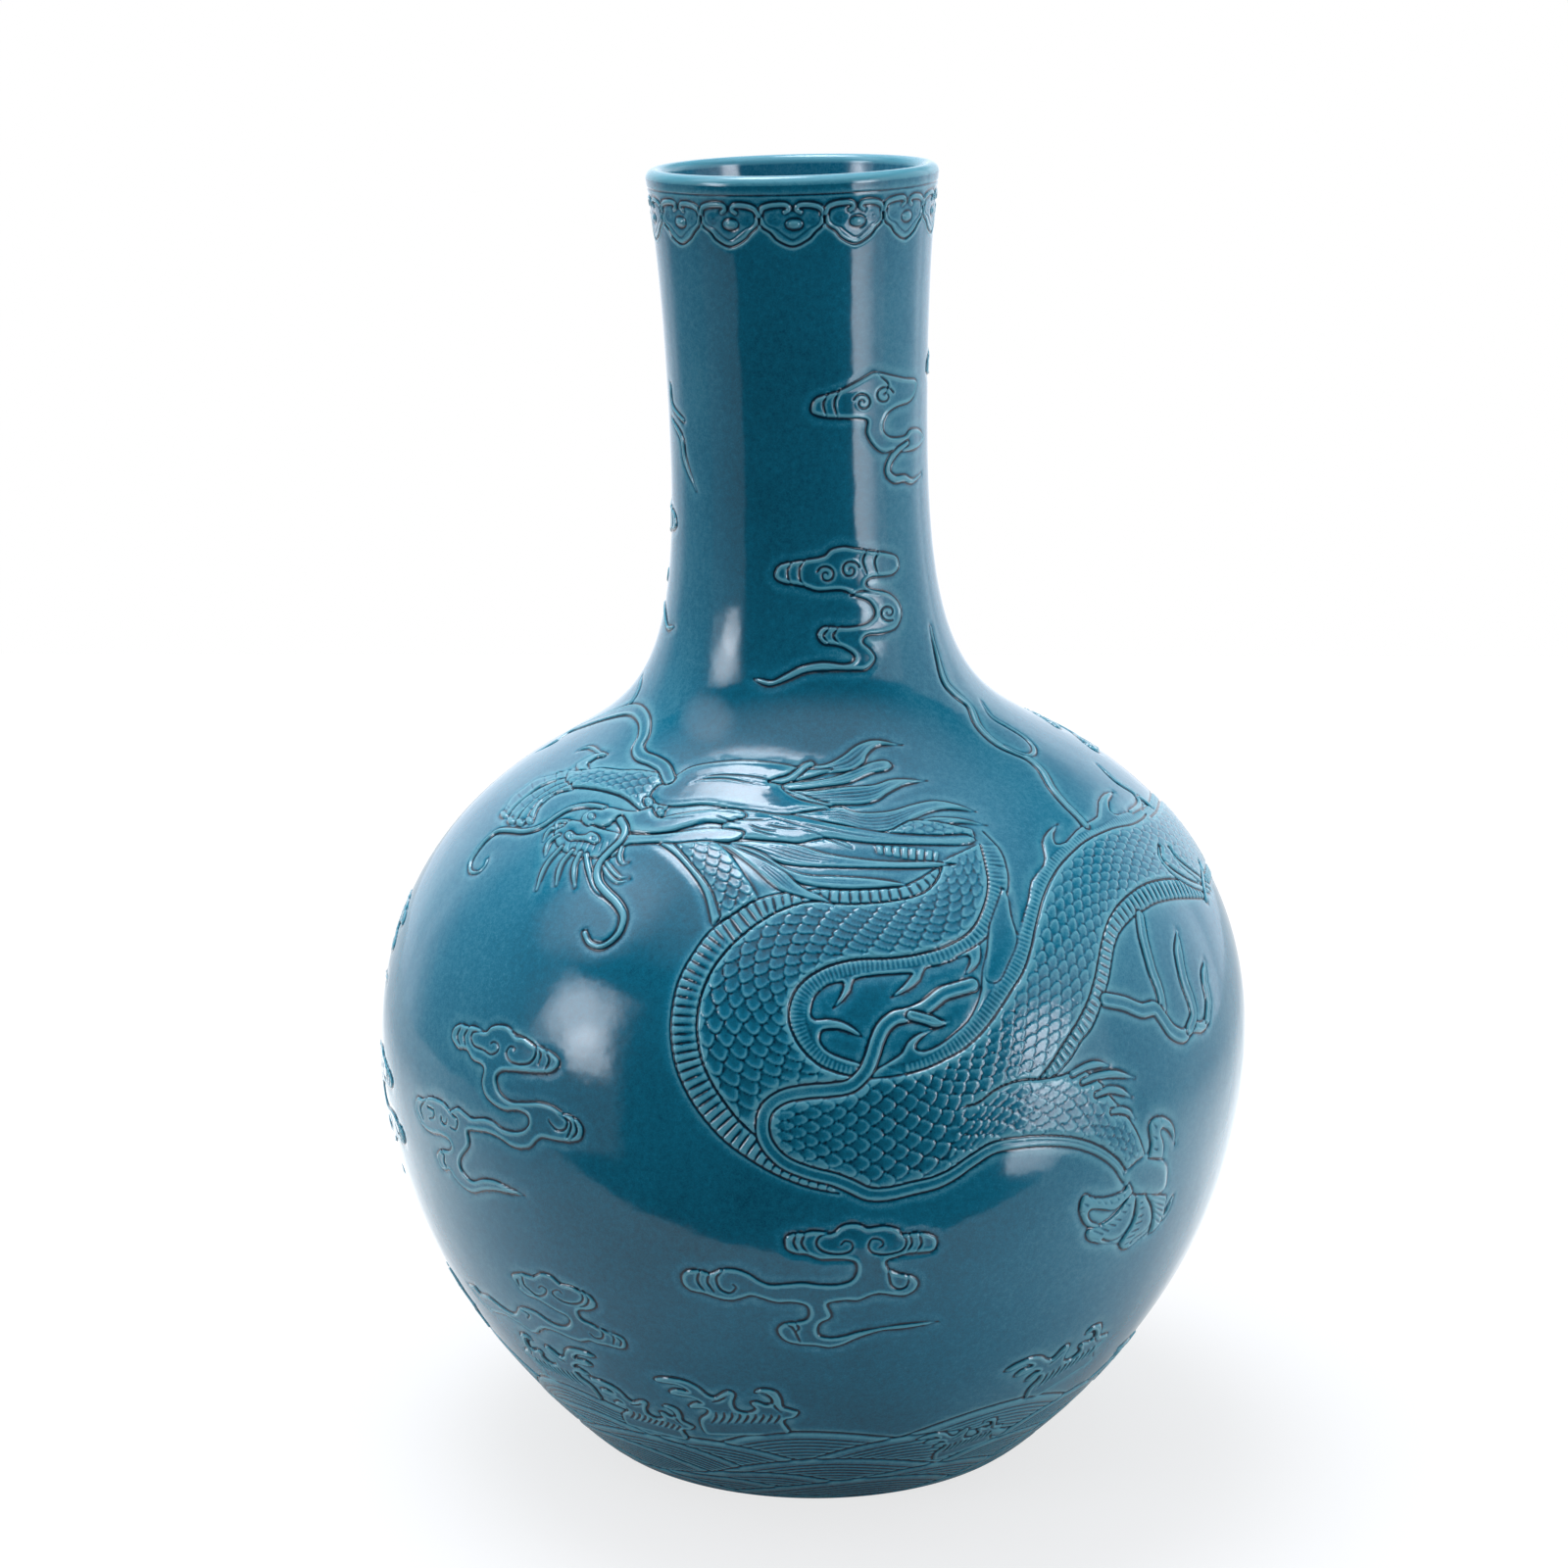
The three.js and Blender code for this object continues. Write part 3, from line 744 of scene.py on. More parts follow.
# The left fore leg reaches up and grips, its four fingers bent down and the thumb up. It is
# scaled too, with nicks across the knuckles and a small knob at each finger's tip.
fore_top = [(700, 800), (686, 792), (668, 788), (651, 786), (634, 786), (614, 784), (597, 786),
    (582, 787), (568, 788)]
fore_bottom = [(668, 840), (649, 824), (636, 814), (618, 808), (601, 805), (584, 804), (570, 807)]
scaled_band(*paired(drawn(fore_bottom), drawn(fore_top), 90), 4.2, 4, base=0.4)
for side in (fore_top, fore_bottom):
    line(drawn(side), 1.1, 0.6, 0.8, 0.8)
lock([(590, 787), (588, 781), (597, 775), (606, 770), (614, 767), (620, 769)],
     [(602, 786), (600, 780), (605, 776), (610, 773), (616, 772), (620, 769)], 0)
cord(drawn([(589, 766), (597, 763), (604, 763), (612, 768)]), 1.5, 0.5, 0.2, 0.6, 0.45, 0.7)
fingers = (([(582, 785), (569, 790), (549, 795), (536, 804), (523, 814), (513, 829)],
            [(578, 794), (566, 797), (551, 803), (539, 812), (528, 821), (518, 832)]),
           ([(578, 794), (564, 799), (550, 806), (536, 815), (524, 827), (518, 836)],
            [(578, 799), (566, 805), (552, 812), (540, 822), (530, 832), (524, 840)]),
           ([(580, 798), (568, 802), (556, 809), (545, 817), (535, 827), (527, 838)],
            [(582, 803), (570, 808), (559, 815), (550, 823), (541, 833), (533, 842)]),
           ([(584, 800), (572, 805), (560, 811), (550, 818), (543, 827), (537, 836)],
            [(584, 806), (571, 808), (558, 814), (550, 823), (546, 832), (543, 840)]))
for upper, lower in fingers:
    lock(upper, lower, 0, 0.55, 0.9)
    top, low = paired(drawn(upper), drawn(lower), 12)
    for knuckle in range(2, 11, 2):
        line(np.array([top[knuckle], low[knuckle]]), 0.7, 0.3, 1, 1)


def disc(x, y, radius):
    """A round shape about a photo pixel."""
    turn = np.linspace(0, 2 * np.pi, 13)[:-1]
    return drawn(np.stack([x + radius * np.cos(turn), y + radius * np.sin(turn)], -1), True, 2)


fingertips = ((514, 831), (521, 837), (530, 839), (540, 837))
for tip in fingertips:
    panel(disc(*tip, 3.8), 0.6, 1.4, 0.4, 0.8)

# The mane streams back from the head in combed locks, over the loop of the body. A lock is
# a low field that comes to a point, and fine cuts comb it from root to tip.
ribbed_band(drawn([(893, 862), (925, 864), (957, 869)]), drawn([(897, 872), (926, 877), (955, 882)]), 3.4)
lock([(770, 858), (811, 861), (839, 870), (875, 876), (912, 879), (952, 879), (975, 883)],
     [(738, 858), (765, 868), (795, 880), (820, 884), (850, 885), (900, 886), (940, 886), (975, 883)],
     5, 0.5)
lock([(745, 860), (775, 869), (803, 886), (826, 893), (854, 894), (885, 896), (909, 899), (929, 903)],
     [(738, 862), (762, 873), (788, 889), (812, 900), (845, 906), (875, 907), (902, 906), (929, 903)],
     4, 0.5)
lock([(745, 862), (775, 875), (800, 889), (812, 900), (824, 908), (838, 914), (852, 923)],
     [(722, 856), (742, 866), (765, 883), (784, 900), (799, 910), (826, 918), (852, 923)], 5, 0.55)
lock([(925, 840), (950, 834), (967, 834), (984, 836), (1008, 842)],
     [(930, 846), (955, 843), (979, 840), (1008, 842)], 1)
scaled_band(*paired(drawn([(896, 854), (935, 857), (962, 859), (994, 858)]),
                    drawn([(900, 846), (922, 838), (950, 838), (990, 846)]), 40), 4.2, 3)
lock([(790, 826), (820, 829), (854, 823), (875, 829), (906, 828), (931, 821), (952, 817), (973, 820),
      (997, 828)],
     [(795, 838), (833, 838), (860, 842), (888, 849), (908, 848), (924, 840), (946, 830), (967, 826),
      (997, 828)], 5)
lock([(790, 803), (826, 807), (860, 803), (891, 801), (912, 795), (947, 796)],
     [(800, 816), (830, 821), (854, 821), (878, 821), (895, 817), (907, 809), (924, 801), (947, 796)], 4)
lock([(790, 797), (814, 798), (845, 794), (869, 786), (888, 778), (904, 776), (911, 781)],
     [(795, 807), (814, 806), (839, 803), (866, 799), (888, 790), (906, 786), (911, 781)], 2)
lock([(800, 782), (830, 781), (845, 779), (860, 771), (875, 760), (894, 755), (922, 760)],
     [(800, 795), (825, 794), (845, 789), (868, 787), (881, 779), (886, 769), (898, 761), (922, 760)], 3)
lock([(770, 798), (795, 803), (814, 809), (833, 816), (853, 821)],
     [(775, 812), (790, 820), (805, 824), (826, 825), (853, 821)], 4, 0.5)
lock([(745, 800), (771, 808), (785, 820), (802, 829), (833, 837), (863, 843), (906, 850), (952, 853),
      (985, 852), (996, 857)],
     [(735, 852), (765, 856), (790, 858), (814, 860), (842, 855), (866, 858), (895, 861), (940, 862),
      (985, 862), (996, 857)], 0, 0.8, 3)
for strand in ([(800, 838), (840, 846), (880, 854), (930, 857)], [(780, 832), (812, 842), (845, 850)],
        [(812, 846), (835, 852), (868, 866)],
        [(836, 853), (850, 858), (870, 866), (862, 858), (846, 853)]):
    line(drawn(strand), 0.9, 0.35, 0.3, 0.3)

# The head looks to the left with its jaws a little apart. Jaw, brow, snout and eyes are
# fields raised one over the other, with the beard and the hooks of the jaw as thin cords.
panel(outline((568, 842), (578, 837), (594, 838), (616, 846), (636, 850), (668, 851), (720, 845),
    (745, 846), (760, 850), (748, 858), (716, 859), (690, 861), (671, 860), (653, 861), (640, 862),
    (632, 867), (625, 874), (600, 875), (583, 872), (570, 865), (565, 852)), 0.4, 1.2, 0.6, 1.0, 0.15)
for base, tip in (((574, 842), (554, 858)), ((570, 852), (556, 873)), ((573, 864), (547, 908)),
        ((584, 868), (567, 903)), ((592, 870), (586, 905)), ((578, 838), (567, 846))):
    bend = ((base[0] + tip[0]) / 2 - 3, (base[1] + tip[1]) / 2 - 3)
    cord(drawn([base, bend, tip]), 2.1, 0.6, 0.9, 0.3, 0.5, 0.7)
cord(drawn([(598, 872), (601, 888), (609, 908), (624, 919)]), 2.1, 0.55, 0.9, 0.15, 0.5, 0.7)
for hook in ([(614, 882), (621, 893), (630, 900), (642, 897)],
        [(617, 878), (624, 888), (632, 895), (641, 894)],
        [(634, 864), (632, 874), (635, 881), (641, 880)]):
    cord(drawn(hook), 1.5, 0.5, 0.9, 0.1, 0.45, 0.7)
for k in range(9):
    x = 574 + 6.5 * k
    line(drawn([(x + 3, 858 - 0.2 * k), (x, 866), (x - 3, 873)]), 0.7, 0.35, 0.6, 0.6)
panel(outline((576, 852), (582, 848), (589, 852), (598, 852), (603, 849), (610, 852), (612, 858),
    (607, 862), (598, 859), (588, 858), (580, 858)), 0.75, 0.9, 0.6, 0.8)
for tooth in ((584, 854), (606, 856)):
    panel(disc(*tooth, 2.2), 0.5, 0.6, 0.35, 0.6)
panel(outline((664, 812), (670, 804), (681, 797), (692, 790), (707, 782), (729, 778), (753, 776),
    (777, 777), (802, 780), (826, 785), (850, 785), (828, 793), (806, 798), (798, 804), (816, 816),
    (848, 824), (820, 829), (798, 832), (775, 829), (745, 825), (720, 821), (690, 823), (674, 822),
    (666, 817)), 0.9, 4, 0.6, 1.0, 0.2)
line(drawn([(703, 802), (714, 797), (740, 796), (764, 800), (784, 803)]), 1.3, 0.4, 0.3, 0.4, 0.3)
panel(outline((593, 837), (597, 830), (608, 825), (623, 824), (636, 827), (649, 828), (658, 826),
    (666, 824), (672, 834), (690, 831), (720, 826), (752, 826), (762, 834), (740, 840), (720, 840),
    (701, 844), (684, 849), (666, 851), (653, 850), (638, 847), (634, 840), (627, 838), (622, 842),
    (614, 844), (606, 842), (599, 843)), 0.95, 2.6, 0.6, 1.0, 0.2)
panel(disc(604, 834, 4), 1.2, 1.2, 0.3, 0.7)
line(drawn([(664, 826), (674, 835), (690, 836), (716, 832)]), 0.9, 0.4, 0.6, 0.3)
for eye in ((662, 819, 5.6), (674, 829, 4.4)):
    panel(disc(*eye), 0.95, 1.1, 0.55, 0.8)
    panel(disc(eye[0], eye[1], eye[2] * 0.45), 1.1, 0.5, 0.25, 0.5)
cord(drawn([(786, 798), (802, 796), (814, 789), (822, 782), (827, 780)]), 3.2, 0.75, 0.3, 0.9, 0.5, 0.8)
creases = ([(704, 801), (712, 796), (740, 792), (776, 795), (800, 803), (826, 809)],
    [(704, 844), (716, 839), (735, 840), (750, 845)], [(716, 827), (740, 829), (766, 832)],
    [(762, 841), (776, 847), (800, 850)], [(748, 835), (766, 838), (792, 837)],
    [(764, 846), (782, 852), (800, 855)], [(728, 833), (750, 840), (764, 843)],
    [(780, 842), (800, 846), (822, 847)])
for crease in creases:
    line(drawn(crease), 1.0, 0.5, 0.4, 0.3, 0.2)

# Two long whiskers curl from the snout, one to the left and one downwards. They are raised
# cords, each with a groove along both sides.
cord(drawn([(616, 824), (606, 822), (596, 822), (582, 825), (569, 832), (553, 843), (536, 848),
    (520, 847), (508, 848), (497, 856), (487, 868), (480, 880), (480, 889), (487, 890), (494, 884),
    (497, 877)]), 2.4, 0.75, 1, 0.3, 0.55, 0.85)
cord(drawn([(633, 836), (638, 846), (634, 857), (623, 868), (613, 879), (609, 890), (611, 901),
    (619, 911), (629, 921), (636, 934), (633, 949), (624, 960), (612, 966), (601, 962), (596, 952)]), 3.2,
     0.7, 1, 0.5, 0.6, 0.9)

# Streamers of flame fly off the shoulders, as ribbons and thin cords that run out to a
# point.
cord(drawn([(655, 690), (652, 702), (645, 715), (636, 722)]), 1.6, 0.4, 0.3, 0.8, 0.4, 0.7)
ribbon(drawn([(549, 766), (566, 757), (586, 744), (612, 733), (636, 725), (649, 725), (657, 734),
    (657, 749), (651, 762), (654, 771), (666, 776), (677, 783), (683, 796)]), 5.4, start=0.12, end=0.9)
ribbon(drawn([(950, 640), (953, 655), (957, 672), (964, 695), (973, 706), (989, 720), (999, 741),
    (1018, 759), (1046, 772), (1062, 785), (1073, 803), (1086, 819), (1098, 831), (1108, 842)]), 3.4,
    0.35, start=0.2, end=0.9)
cord(drawn([(1002, 716), (1012, 731), (1028, 741), (1044, 751), (1054, 761), (1054, 769), (1044, 769),
    (1026, 761)]), 1.7, 0.45, 0.2, 0.5, 0.45, 0.7)
cord(drawn([(1120, 780), (1139, 797), (1157, 809), (1163, 820), (1154, 828)]), 2.4, 0.5, 0.2, 0.6)

# A flame grows from the belly plates on the right flank and splits into two tongues. It is
# ribbon work, like the one round the thigh.
ribbon(drawn([(1163, 934), (1167, 958), (1175, 988), (1183, 1010), (1187, 1030)]), 4.4, start=0.9,
    end=0.9)
ribbon(drawn([(1128, 1020), (1147, 1024), (1165, 1031), (1178, 1029), (1186, 1038), (1196, 1052),
    (1208, 1057), (1217, 1048), (1226, 1048), (1232, 1042)]), 5.2, end=0.6)
ribbon(drawn([(1201, 950), (1203, 975), (1208, 1000), (1215, 1020), (1218, 1036), (1214, 1050)]), 5,
    start=0.1, end=0.9)
ribbon(drawn([(1229, 981), (1229, 1000), (1233, 1020), (1232, 1040)]), 4.4, start=0.1, end=0.8)

# Two lines are turned into the neck under the lip, and fourteen lappets hang from them.
# The one in front is drawn, and the others repeat it round the neck.
for level_px in (190.4, 199.4):
    level_row = seen((806, level_px))[1]
    line(np.stack([np.linspace(0, columns, 240), np.full(240, level_row)], -1), 1.0, 0.4, 1, 1)
lappets, lappet_left, lappet_right, lappet_top = 14, 774, 835.5, 218
lappet_ends = seen([(lappet_left, lappet_top), (lappet_right, lappet_top)])
lappet_step = columns / lappets


def lappet(*points, **form):
    """A smooth line of the front lappet, stretched so that the lappets meet."""
    path = drawn(points, **form)
    left, right = lappet_ends[:, 0]
    path[:, 0] = (path[:, 0] - left) * lappet_step / (right - left) + left
    return path


lappet_edge = lappet((774, 213), (774, 224), (777, 232), (785, 238), (792, 246), (806, 252), (820, 245),
    (827, 237), (833, 231), (835.5, 224), (835.5, 213))
lappet_inner = lappet((778, 219), (779, 226), (783, 231), (790, 234), (797, 240), (806, 245), (815, 239),
    (822, 233), (828, 230), (831, 225), (831, 219))
left_arm = lappet((775, 219), (777, 213), (784, 210), (794, 209), (800, 210), (802, 214), (798, 217))
right_arm = lappet((835, 219), (832, 213), (826, 210), (818, 209), (811, 210), (809, 214), (813, 217))
t = np.linspace(0, 2 * np.pi, 11)[:-1]
drop_places = ((807, 229, 8.5, 6), (807, 229, 5.5, 3.8), (789, 224, 4.2, 3), (824, 224, 4.2, 3))
drops = [lappet(*np.stack([x + w * np.cos(t), y + h * np.sin(t)], -1), closed=True, fine=2)
         for x, y, w, h in drop_places]
for number in range(lappets):
    shift = [number * lappet_step, 0]
    line(lappet_edge + shift, 1.3, 0.65, 1, 1, 0.3)
    line(lappet_inner + shift, 0.8, 0.3, 1, 1)
    panel(drops[0] + shift, 0.1, 1.2, 0.45, 0.8, 0.25, 0.2)
    panel(drops[1] + shift, 0.75, 2, 0.3, 0.7)
    for drop in drops[2:]:
        panel(drop + shift, -0.25, 0.8, 0.1, 0.6)
    for arm in (left_arm, right_arm):
        cord(arm + shift, 1.7, 0.45, 0.9, 0.7, 0.45, 0.8)


# Clouds drift round the neck and the belly: each has scrolled heads and a trailing end. Its
# field is dished inside a raised rim, and the scrolls are cut as spirals.
def cloud(shape, cuts, curls=()):
    """A cloud as paths on the lattice: its outline, its cuts and its spirals."""
    spirals = []
    for x, y, radius, start in curls:
        t = np.linspace(0, 1, 18)
        turn = np.radians(start) + 2.8 * np.pi * t
        reach = abs(radius) * (1 - 0.85 * t)
        scroll = [x + np.sign(radius) * reach * np.cos(turn), y + reach * np.sin(turn)]
        spirals.append(drawn(np.stack(scroll, -1), fine=2))
    return [drawn(shape, closed=True, fine=4)] + [drawn(cut) for cut in cuts] + spirals


def moved(paths, turn, level, mirror=1, size=1.0, tilt=0):
    """Paths moved together to a turn and a level, mirrored by -1 and then tilted."""
    home = (paths[0].min(0) + paths[0].max(0)) / 2
    there = place(turn, level)
    scale, tilt = size * cell[int(home[1])] / cell[int(there[1])], np.radians(tilt)
    spin = np.array([[np.cos(tilt), np.sin(tilt)], [-np.sin(tilt), np.cos(tilt)]])
    return [there + (path - home) * [mirror * scale, scale] @ spin for path in paths]


def carve_cloud(paths):
    """Cuts a cloud: its field stands a little proud, dished inside a raised rim."""
    panel(paths[0], rise=0.5, edge=1.4, cut=0.5, cut_width=0.95, rim=0.3, sink=0.2)
    for cut in paths[1:]:
        line(cut, 1.15, 0.7, 0.9, 0.7, 0.25)


neck_low_cloud = cloud([
    (791, 584), (797, 576), (818, 572), (840, 568), (848, 561), (861, 558), (874, 560), (888, 562),
    (904, 564), (915, 568), (917, 579), (909, 587), (890, 589), (883, 595), (888, 601), (904, 604),
    (915, 612), (920, 625), (915, 640), (901, 646), (885, 648), (880, 655), (888, 663), (893, 672),
    (884, 683), (868, 684), (850, 684), (824, 686), (802, 695), (784, 700), (769, 693), (776, 693),
    (788, 695), (802, 688), (818, 680), (840, 676), (861, 678), (871, 675), (871, 668), (861, 661),
    (850, 658), (840, 657), (834, 648), (840, 640), (852, 640), (868, 640), (885, 636), (893, 626),
    (887, 614), (872, 608), (858, 602), (834, 603), (818, 598), (799, 595), (791, 590)],
    [[(808, 574), (804, 581), (804, 590), (808, 597)], [(821, 572), (816, 580), (816, 591), (821, 598)],
     [(884, 562), (880, 572), (884, 585)], [(896, 563), (892, 573), (895, 586)],
     [(868, 608), (880, 603), (896, 606)], [(846, 641), (840, 649), (846, 657)],
     [(855, 641), (850, 649), (856, 657)]],
    [(843, 587, 10, 200), (867, 582, -10, 200), (906, 625, 9, 60)])
neck_high_cloud = cloud([
    (828, 415), (832, 407), (842, 403), (856, 399), (872, 391), (884, 384), (893, 380), (909, 383),
    (923, 386), (935, 388), (934, 400), (928, 410), (915, 415), (905, 423), (901, 437), (908, 446),
    (923, 445), (929, 438), (938, 438), (942, 447), (936, 457), (922, 461), (911, 460), (901, 462),
    (891, 455), (884, 442), (885, 430), (877, 427), (861, 427), (842, 426), (829, 422)],
    [[(845, 402), (840, 412), (843, 425)], [(856, 399), (851, 411), (854, 426)],
     [(896, 382), (906, 392), (902, 404)]],
    [(880, 411, 10, 200), (902, 404, -10, 200)])
left_cloud = cloud([
    (461, 1058), (464, 1048), (471, 1045), (477, 1047), (484, 1047), (490, 1050), (496, 1053),
    (501, 1048), (508, 1046), (517, 1047), (523, 1052), (527, 1058), (535, 1059), (542, 1065),
    (550, 1068), (557, 1071), (564, 1075), (570, 1081), (570, 1088), (565, 1093), (559, 1095),
    (547, 1095), (535, 1094), (523, 1093), (513, 1093), (507, 1098), (507, 1106), (511, 1116),
    (521, 1124), (535, 1125), (550, 1125), (564, 1129), (574, 1136), (585, 1140), (592, 1146),
    (595, 1153), (593, 1162), (586, 1165), (576, 1165), (564, 1163), (553, 1161), (547, 1165),
    (541, 1171), (531, 1172), (521, 1169), (511, 1162), (499, 1156), (487, 1154), (478, 1154),
    (479, 1164), (478, 1171), (471, 1181), (470, 1190), (475, 1199), (483, 1205), (494, 1203),
    (506, 1205), (521, 1213), (535, 1220), (521, 1218), (506, 1215), (494, 1215), (484, 1217),
    (475, 1213), (465, 1203), (459, 1194), (453, 1194), (448, 1186), (446, 1178), (450, 1173),
    (458, 1174), (461, 1170), (458, 1163), (450, 1158), (441, 1156), (433, 1150), (427, 1139),
    (424, 1128), (426, 1119), (432, 1121), (439, 1119), (450, 1123), (458, 1130), (460, 1133),
    (467, 1130), (475, 1136), (482, 1141), (494, 1141), (504, 1145), (513, 1152), (525, 1155),
    (535, 1153), (540, 1146), (538, 1138), (528, 1133), (516, 1133), (504, 1127), (495, 1117),
    (492, 1104), (494, 1091), (490, 1085), (482, 1081), (476, 1071), (468, 1070), (464, 1065)],
    [[(471, 1047), (467, 1058), (471, 1069)], [(479, 1048), (474, 1058), (476, 1070)],
     [(494, 1053), (484, 1053), (481, 1059), (484, 1067), (493, 1071), (501, 1076), (508, 1073),
      (509, 1067), (505, 1063), (501, 1065)],
     [(523, 1053), (540, 1062), (547, 1070), (546, 1079), (540, 1085), (530, 1086), (521, 1083),
      (517, 1075), (521, 1068), (526, 1070), (525, 1073)], [(545, 1067), (552, 1075), (550, 1087)],
     [(557, 1072), (561, 1082), (556, 1094)],
     [(571, 1137), (579, 1144), (577, 1152), (569, 1153), (562, 1146), (560, 1142)],
     [(574, 1137), (583, 1147), (579, 1162)], [(585, 1140), (589, 1154), (582, 1164)],
     [(436, 1121), (430, 1130), (433, 1142)], [(437, 1129), (443, 1133), (443, 1140), (439, 1141)],
     [(453, 1125), (461, 1136), (467, 1142), (466, 1152), (460, 1150)],
     [(451, 1139), (451, 1144), (455, 1147), (457, 1142)],
     [(450, 1173), (454, 1179), (454, 1186), (459, 1194)]])
low_left_cloud = cloud([
    (522, 1301), (531, 1299), (539, 1301), (544, 1302), (551, 1299), (561, 1301), (571, 1309),
    (580, 1312), (590, 1316), (600, 1321), (607, 1328), (608, 1334), (601, 1337), (592, 1337),
    (590, 1340), (594, 1346), (604, 1351), (614, 1356), (624, 1360), (635, 1365), (639, 1371),
    (638, 1376), (631, 1376), (620, 1373), (610, 1371), (602, 1368), (594, 1369), (584, 1366),
    (573, 1361), (563, 1357), (555, 1356), (550, 1360), (543, 1359), (533, 1352), (522, 1345),
    (514, 1341), (506, 1339), (500, 1335), (492, 1328), (486, 1321), (481, 1314), (478, 1310),
    (484, 1312), (490, 1319), (498, 1322), (508, 1330), (518, 1337), (526, 1340), (530, 1334),
    (539, 1335), (549, 1340), (559, 1347), (569, 1352), (578, 1353), (582, 1349), (579, 1343),
    (569, 1338), (559, 1332), (549, 1326), (539, 1322), (531, 1316), (526, 1308)],
    [[(533, 1301), (535, 1310), (541, 1316), (549, 1322), (556, 1321), (558, 1316), (553, 1312),
      (550, 1314)], [(544, 1303), (551, 1300)],
     [(571, 1310), (584, 1313), (593, 1319), (595, 1326), (590, 1330), (578, 1329), (567, 1323),
      (564, 1318), (570, 1316), (574, 1320)], [(594, 1317), (601, 1326), (598, 1332), (592, 1333)],
     [(528, 1305), (531, 1314)], [(608, 1354), (615, 1359), (615, 1365), (608, 1365), (602, 1360)],
     [(614, 1356), (626, 1364), (626, 1372)], [(624, 1361), (634, 1368), (633, 1374)],
     [(531, 1335), (540, 1341), (539, 1345)], [(550, 1359), (552, 1356)]])
low_cloud = cloud([
    (801, 1266), (803, 1261), (812, 1258), (820, 1258), (829, 1256), (840, 1257), (850, 1258),
    (857, 1252), (865, 1249), (876, 1249), (885, 1253), (893, 1252), (904, 1251), (916, 1254),
    (921, 1259), (933, 1258), (944, 1258), (954, 1262), (956, 1269), (952, 1276), (941, 1278),
    (927, 1279), (913, 1283), (904, 1287), (906, 1294), (916, 1299), (927, 1301), (934, 1304),
    (937, 1310), (933, 1317), (924, 1322), (913, 1322), (899, 1320), (888, 1322), (876, 1327),
    (862, 1327), (848, 1329), (844, 1332), (848, 1341), (846, 1346), (837, 1350), (834, 1357),
    (837, 1363), (848, 1365), (862, 1363), (876, 1359), (899, 1355), (927, 1351), (958, 1349),
    (927, 1355), (899, 1358), (876, 1365), (860, 1372), (846, 1375), (832, 1373), (817, 1372),
    (803, 1369), (795, 1362), (794, 1355), (801, 1350), (812, 1349), (823, 1346), (826, 1339),
    (822, 1332), (809, 1329), (792, 1329), (778, 1325), (767, 1322), (759, 1324), (747, 1327),
    (733, 1325), (719, 1320), (705, 1317), (697, 1310), (696, 1301), (702, 1296), (714, 1296),
    (725, 1299), (736, 1295), (750, 1295), (764, 1300), (775, 1307), (787, 1311), (803, 1310),
    (820, 1309), (837, 1311), (854, 1311), (868, 1307), (874, 1299), (874, 1290), (868, 1286),
    (854, 1285), (837, 1285), (823, 1280), (812, 1279), (803, 1275)],
    [[(812, 1259), (810, 1268), (815, 1278)], [(821, 1259), (818, 1269), (825, 1279)],
     [(848, 1259), (837, 1261), (833, 1268), (837, 1275), (848, 1279), (861, 1279), (869, 1275),
      (869, 1268), (862, 1266), (858, 1270)],
     [(918, 1258), (925, 1266), (920, 1276), (904, 1280), (890, 1278), (886, 1271), (890, 1264),
      (899, 1265), (901, 1270), (897, 1273)], [(928, 1259), (930, 1269), (924, 1278)],
     [(938, 1259), (940, 1269), (934, 1278)], [(714, 1296), (712, 1307), (720, 1318)],
     [(724, 1299), (722, 1308), (729, 1318)],
     [(738, 1296), (731, 1304), (735, 1315), (745, 1319), (751, 1314), (748, 1310)],
     [(906, 1295), (909, 1310), (916, 1315), (924, 1313), (927, 1306), (925, 1301)],
     [(803, 1351), (809, 1355), (813, 1362), (817, 1370)], [(812, 1350), (815, 1355), (812, 1359)]])
for paths in (neck_low_cloud, neck_high_cloud, left_cloud, low_left_cloud, low_cloud):
    carve_cloud(paths)
cord(drawn([(926, 452), (916, 460), (908, 471), (906, 482), (913, 489), (923, 488), (931, 491),
    (940, 484)]), 2.6, 0.5)
cord(drawn([(684, 392), (686, 413), (697, 429)]), 1.8, 0.45, 0.4, 0.8)
cord(drawn([(686, 428), (695, 446), (699, 470), (710, 501)]), 2.4, 0.45, 0.6, 0.1)


# Round the back the carving is a guess: the same clouds again, the rest of the dragon, and
# the flaming pearl that it chases.
for paths, *where in (
        (low_cloud, 104, 114, -1), (low_left_cloud, 158, 225, 1, 1.1), (low_cloud, 176, 95, 1, 0.9),
        (low_left_cloud, 222, 118, -1), (low_cloud, 252, 104, -1, 0.9), (low_cloud, 268, 228, 1, 0.7),
        (left_cloud, 279, 152, 1, 0.85), (neck_low_cloud, 150, 420, 1), (neck_high_cloud, 205, 480, -1),
        (neck_low_cloud, 262, 395, -1), (neck_high_cloud, 110, 470, 1, 0.9),
        (neck_low_cloud, 200, 335, 1, 1.1), (left_cloud, 112, 300, -1, 0.7)):
    carve_cloud(moved(paths, *where))


def sketch(points, turn, level, tilt=0, closed=False):
    """A smooth path on the lattice through points in mm about a turn and a level."""
    x, y = np.asarray(points, float).T
    tilt = np.radians(tilt)
    tilted = np.stack([x * np.cos(tilt) - y * np.sin(tilt), x * np.sin(tilt) + y * np.cos(tilt)], -1)
    there = place(turn, level)
    return smooth(there + tilted / cell[int(there[1])], closed)


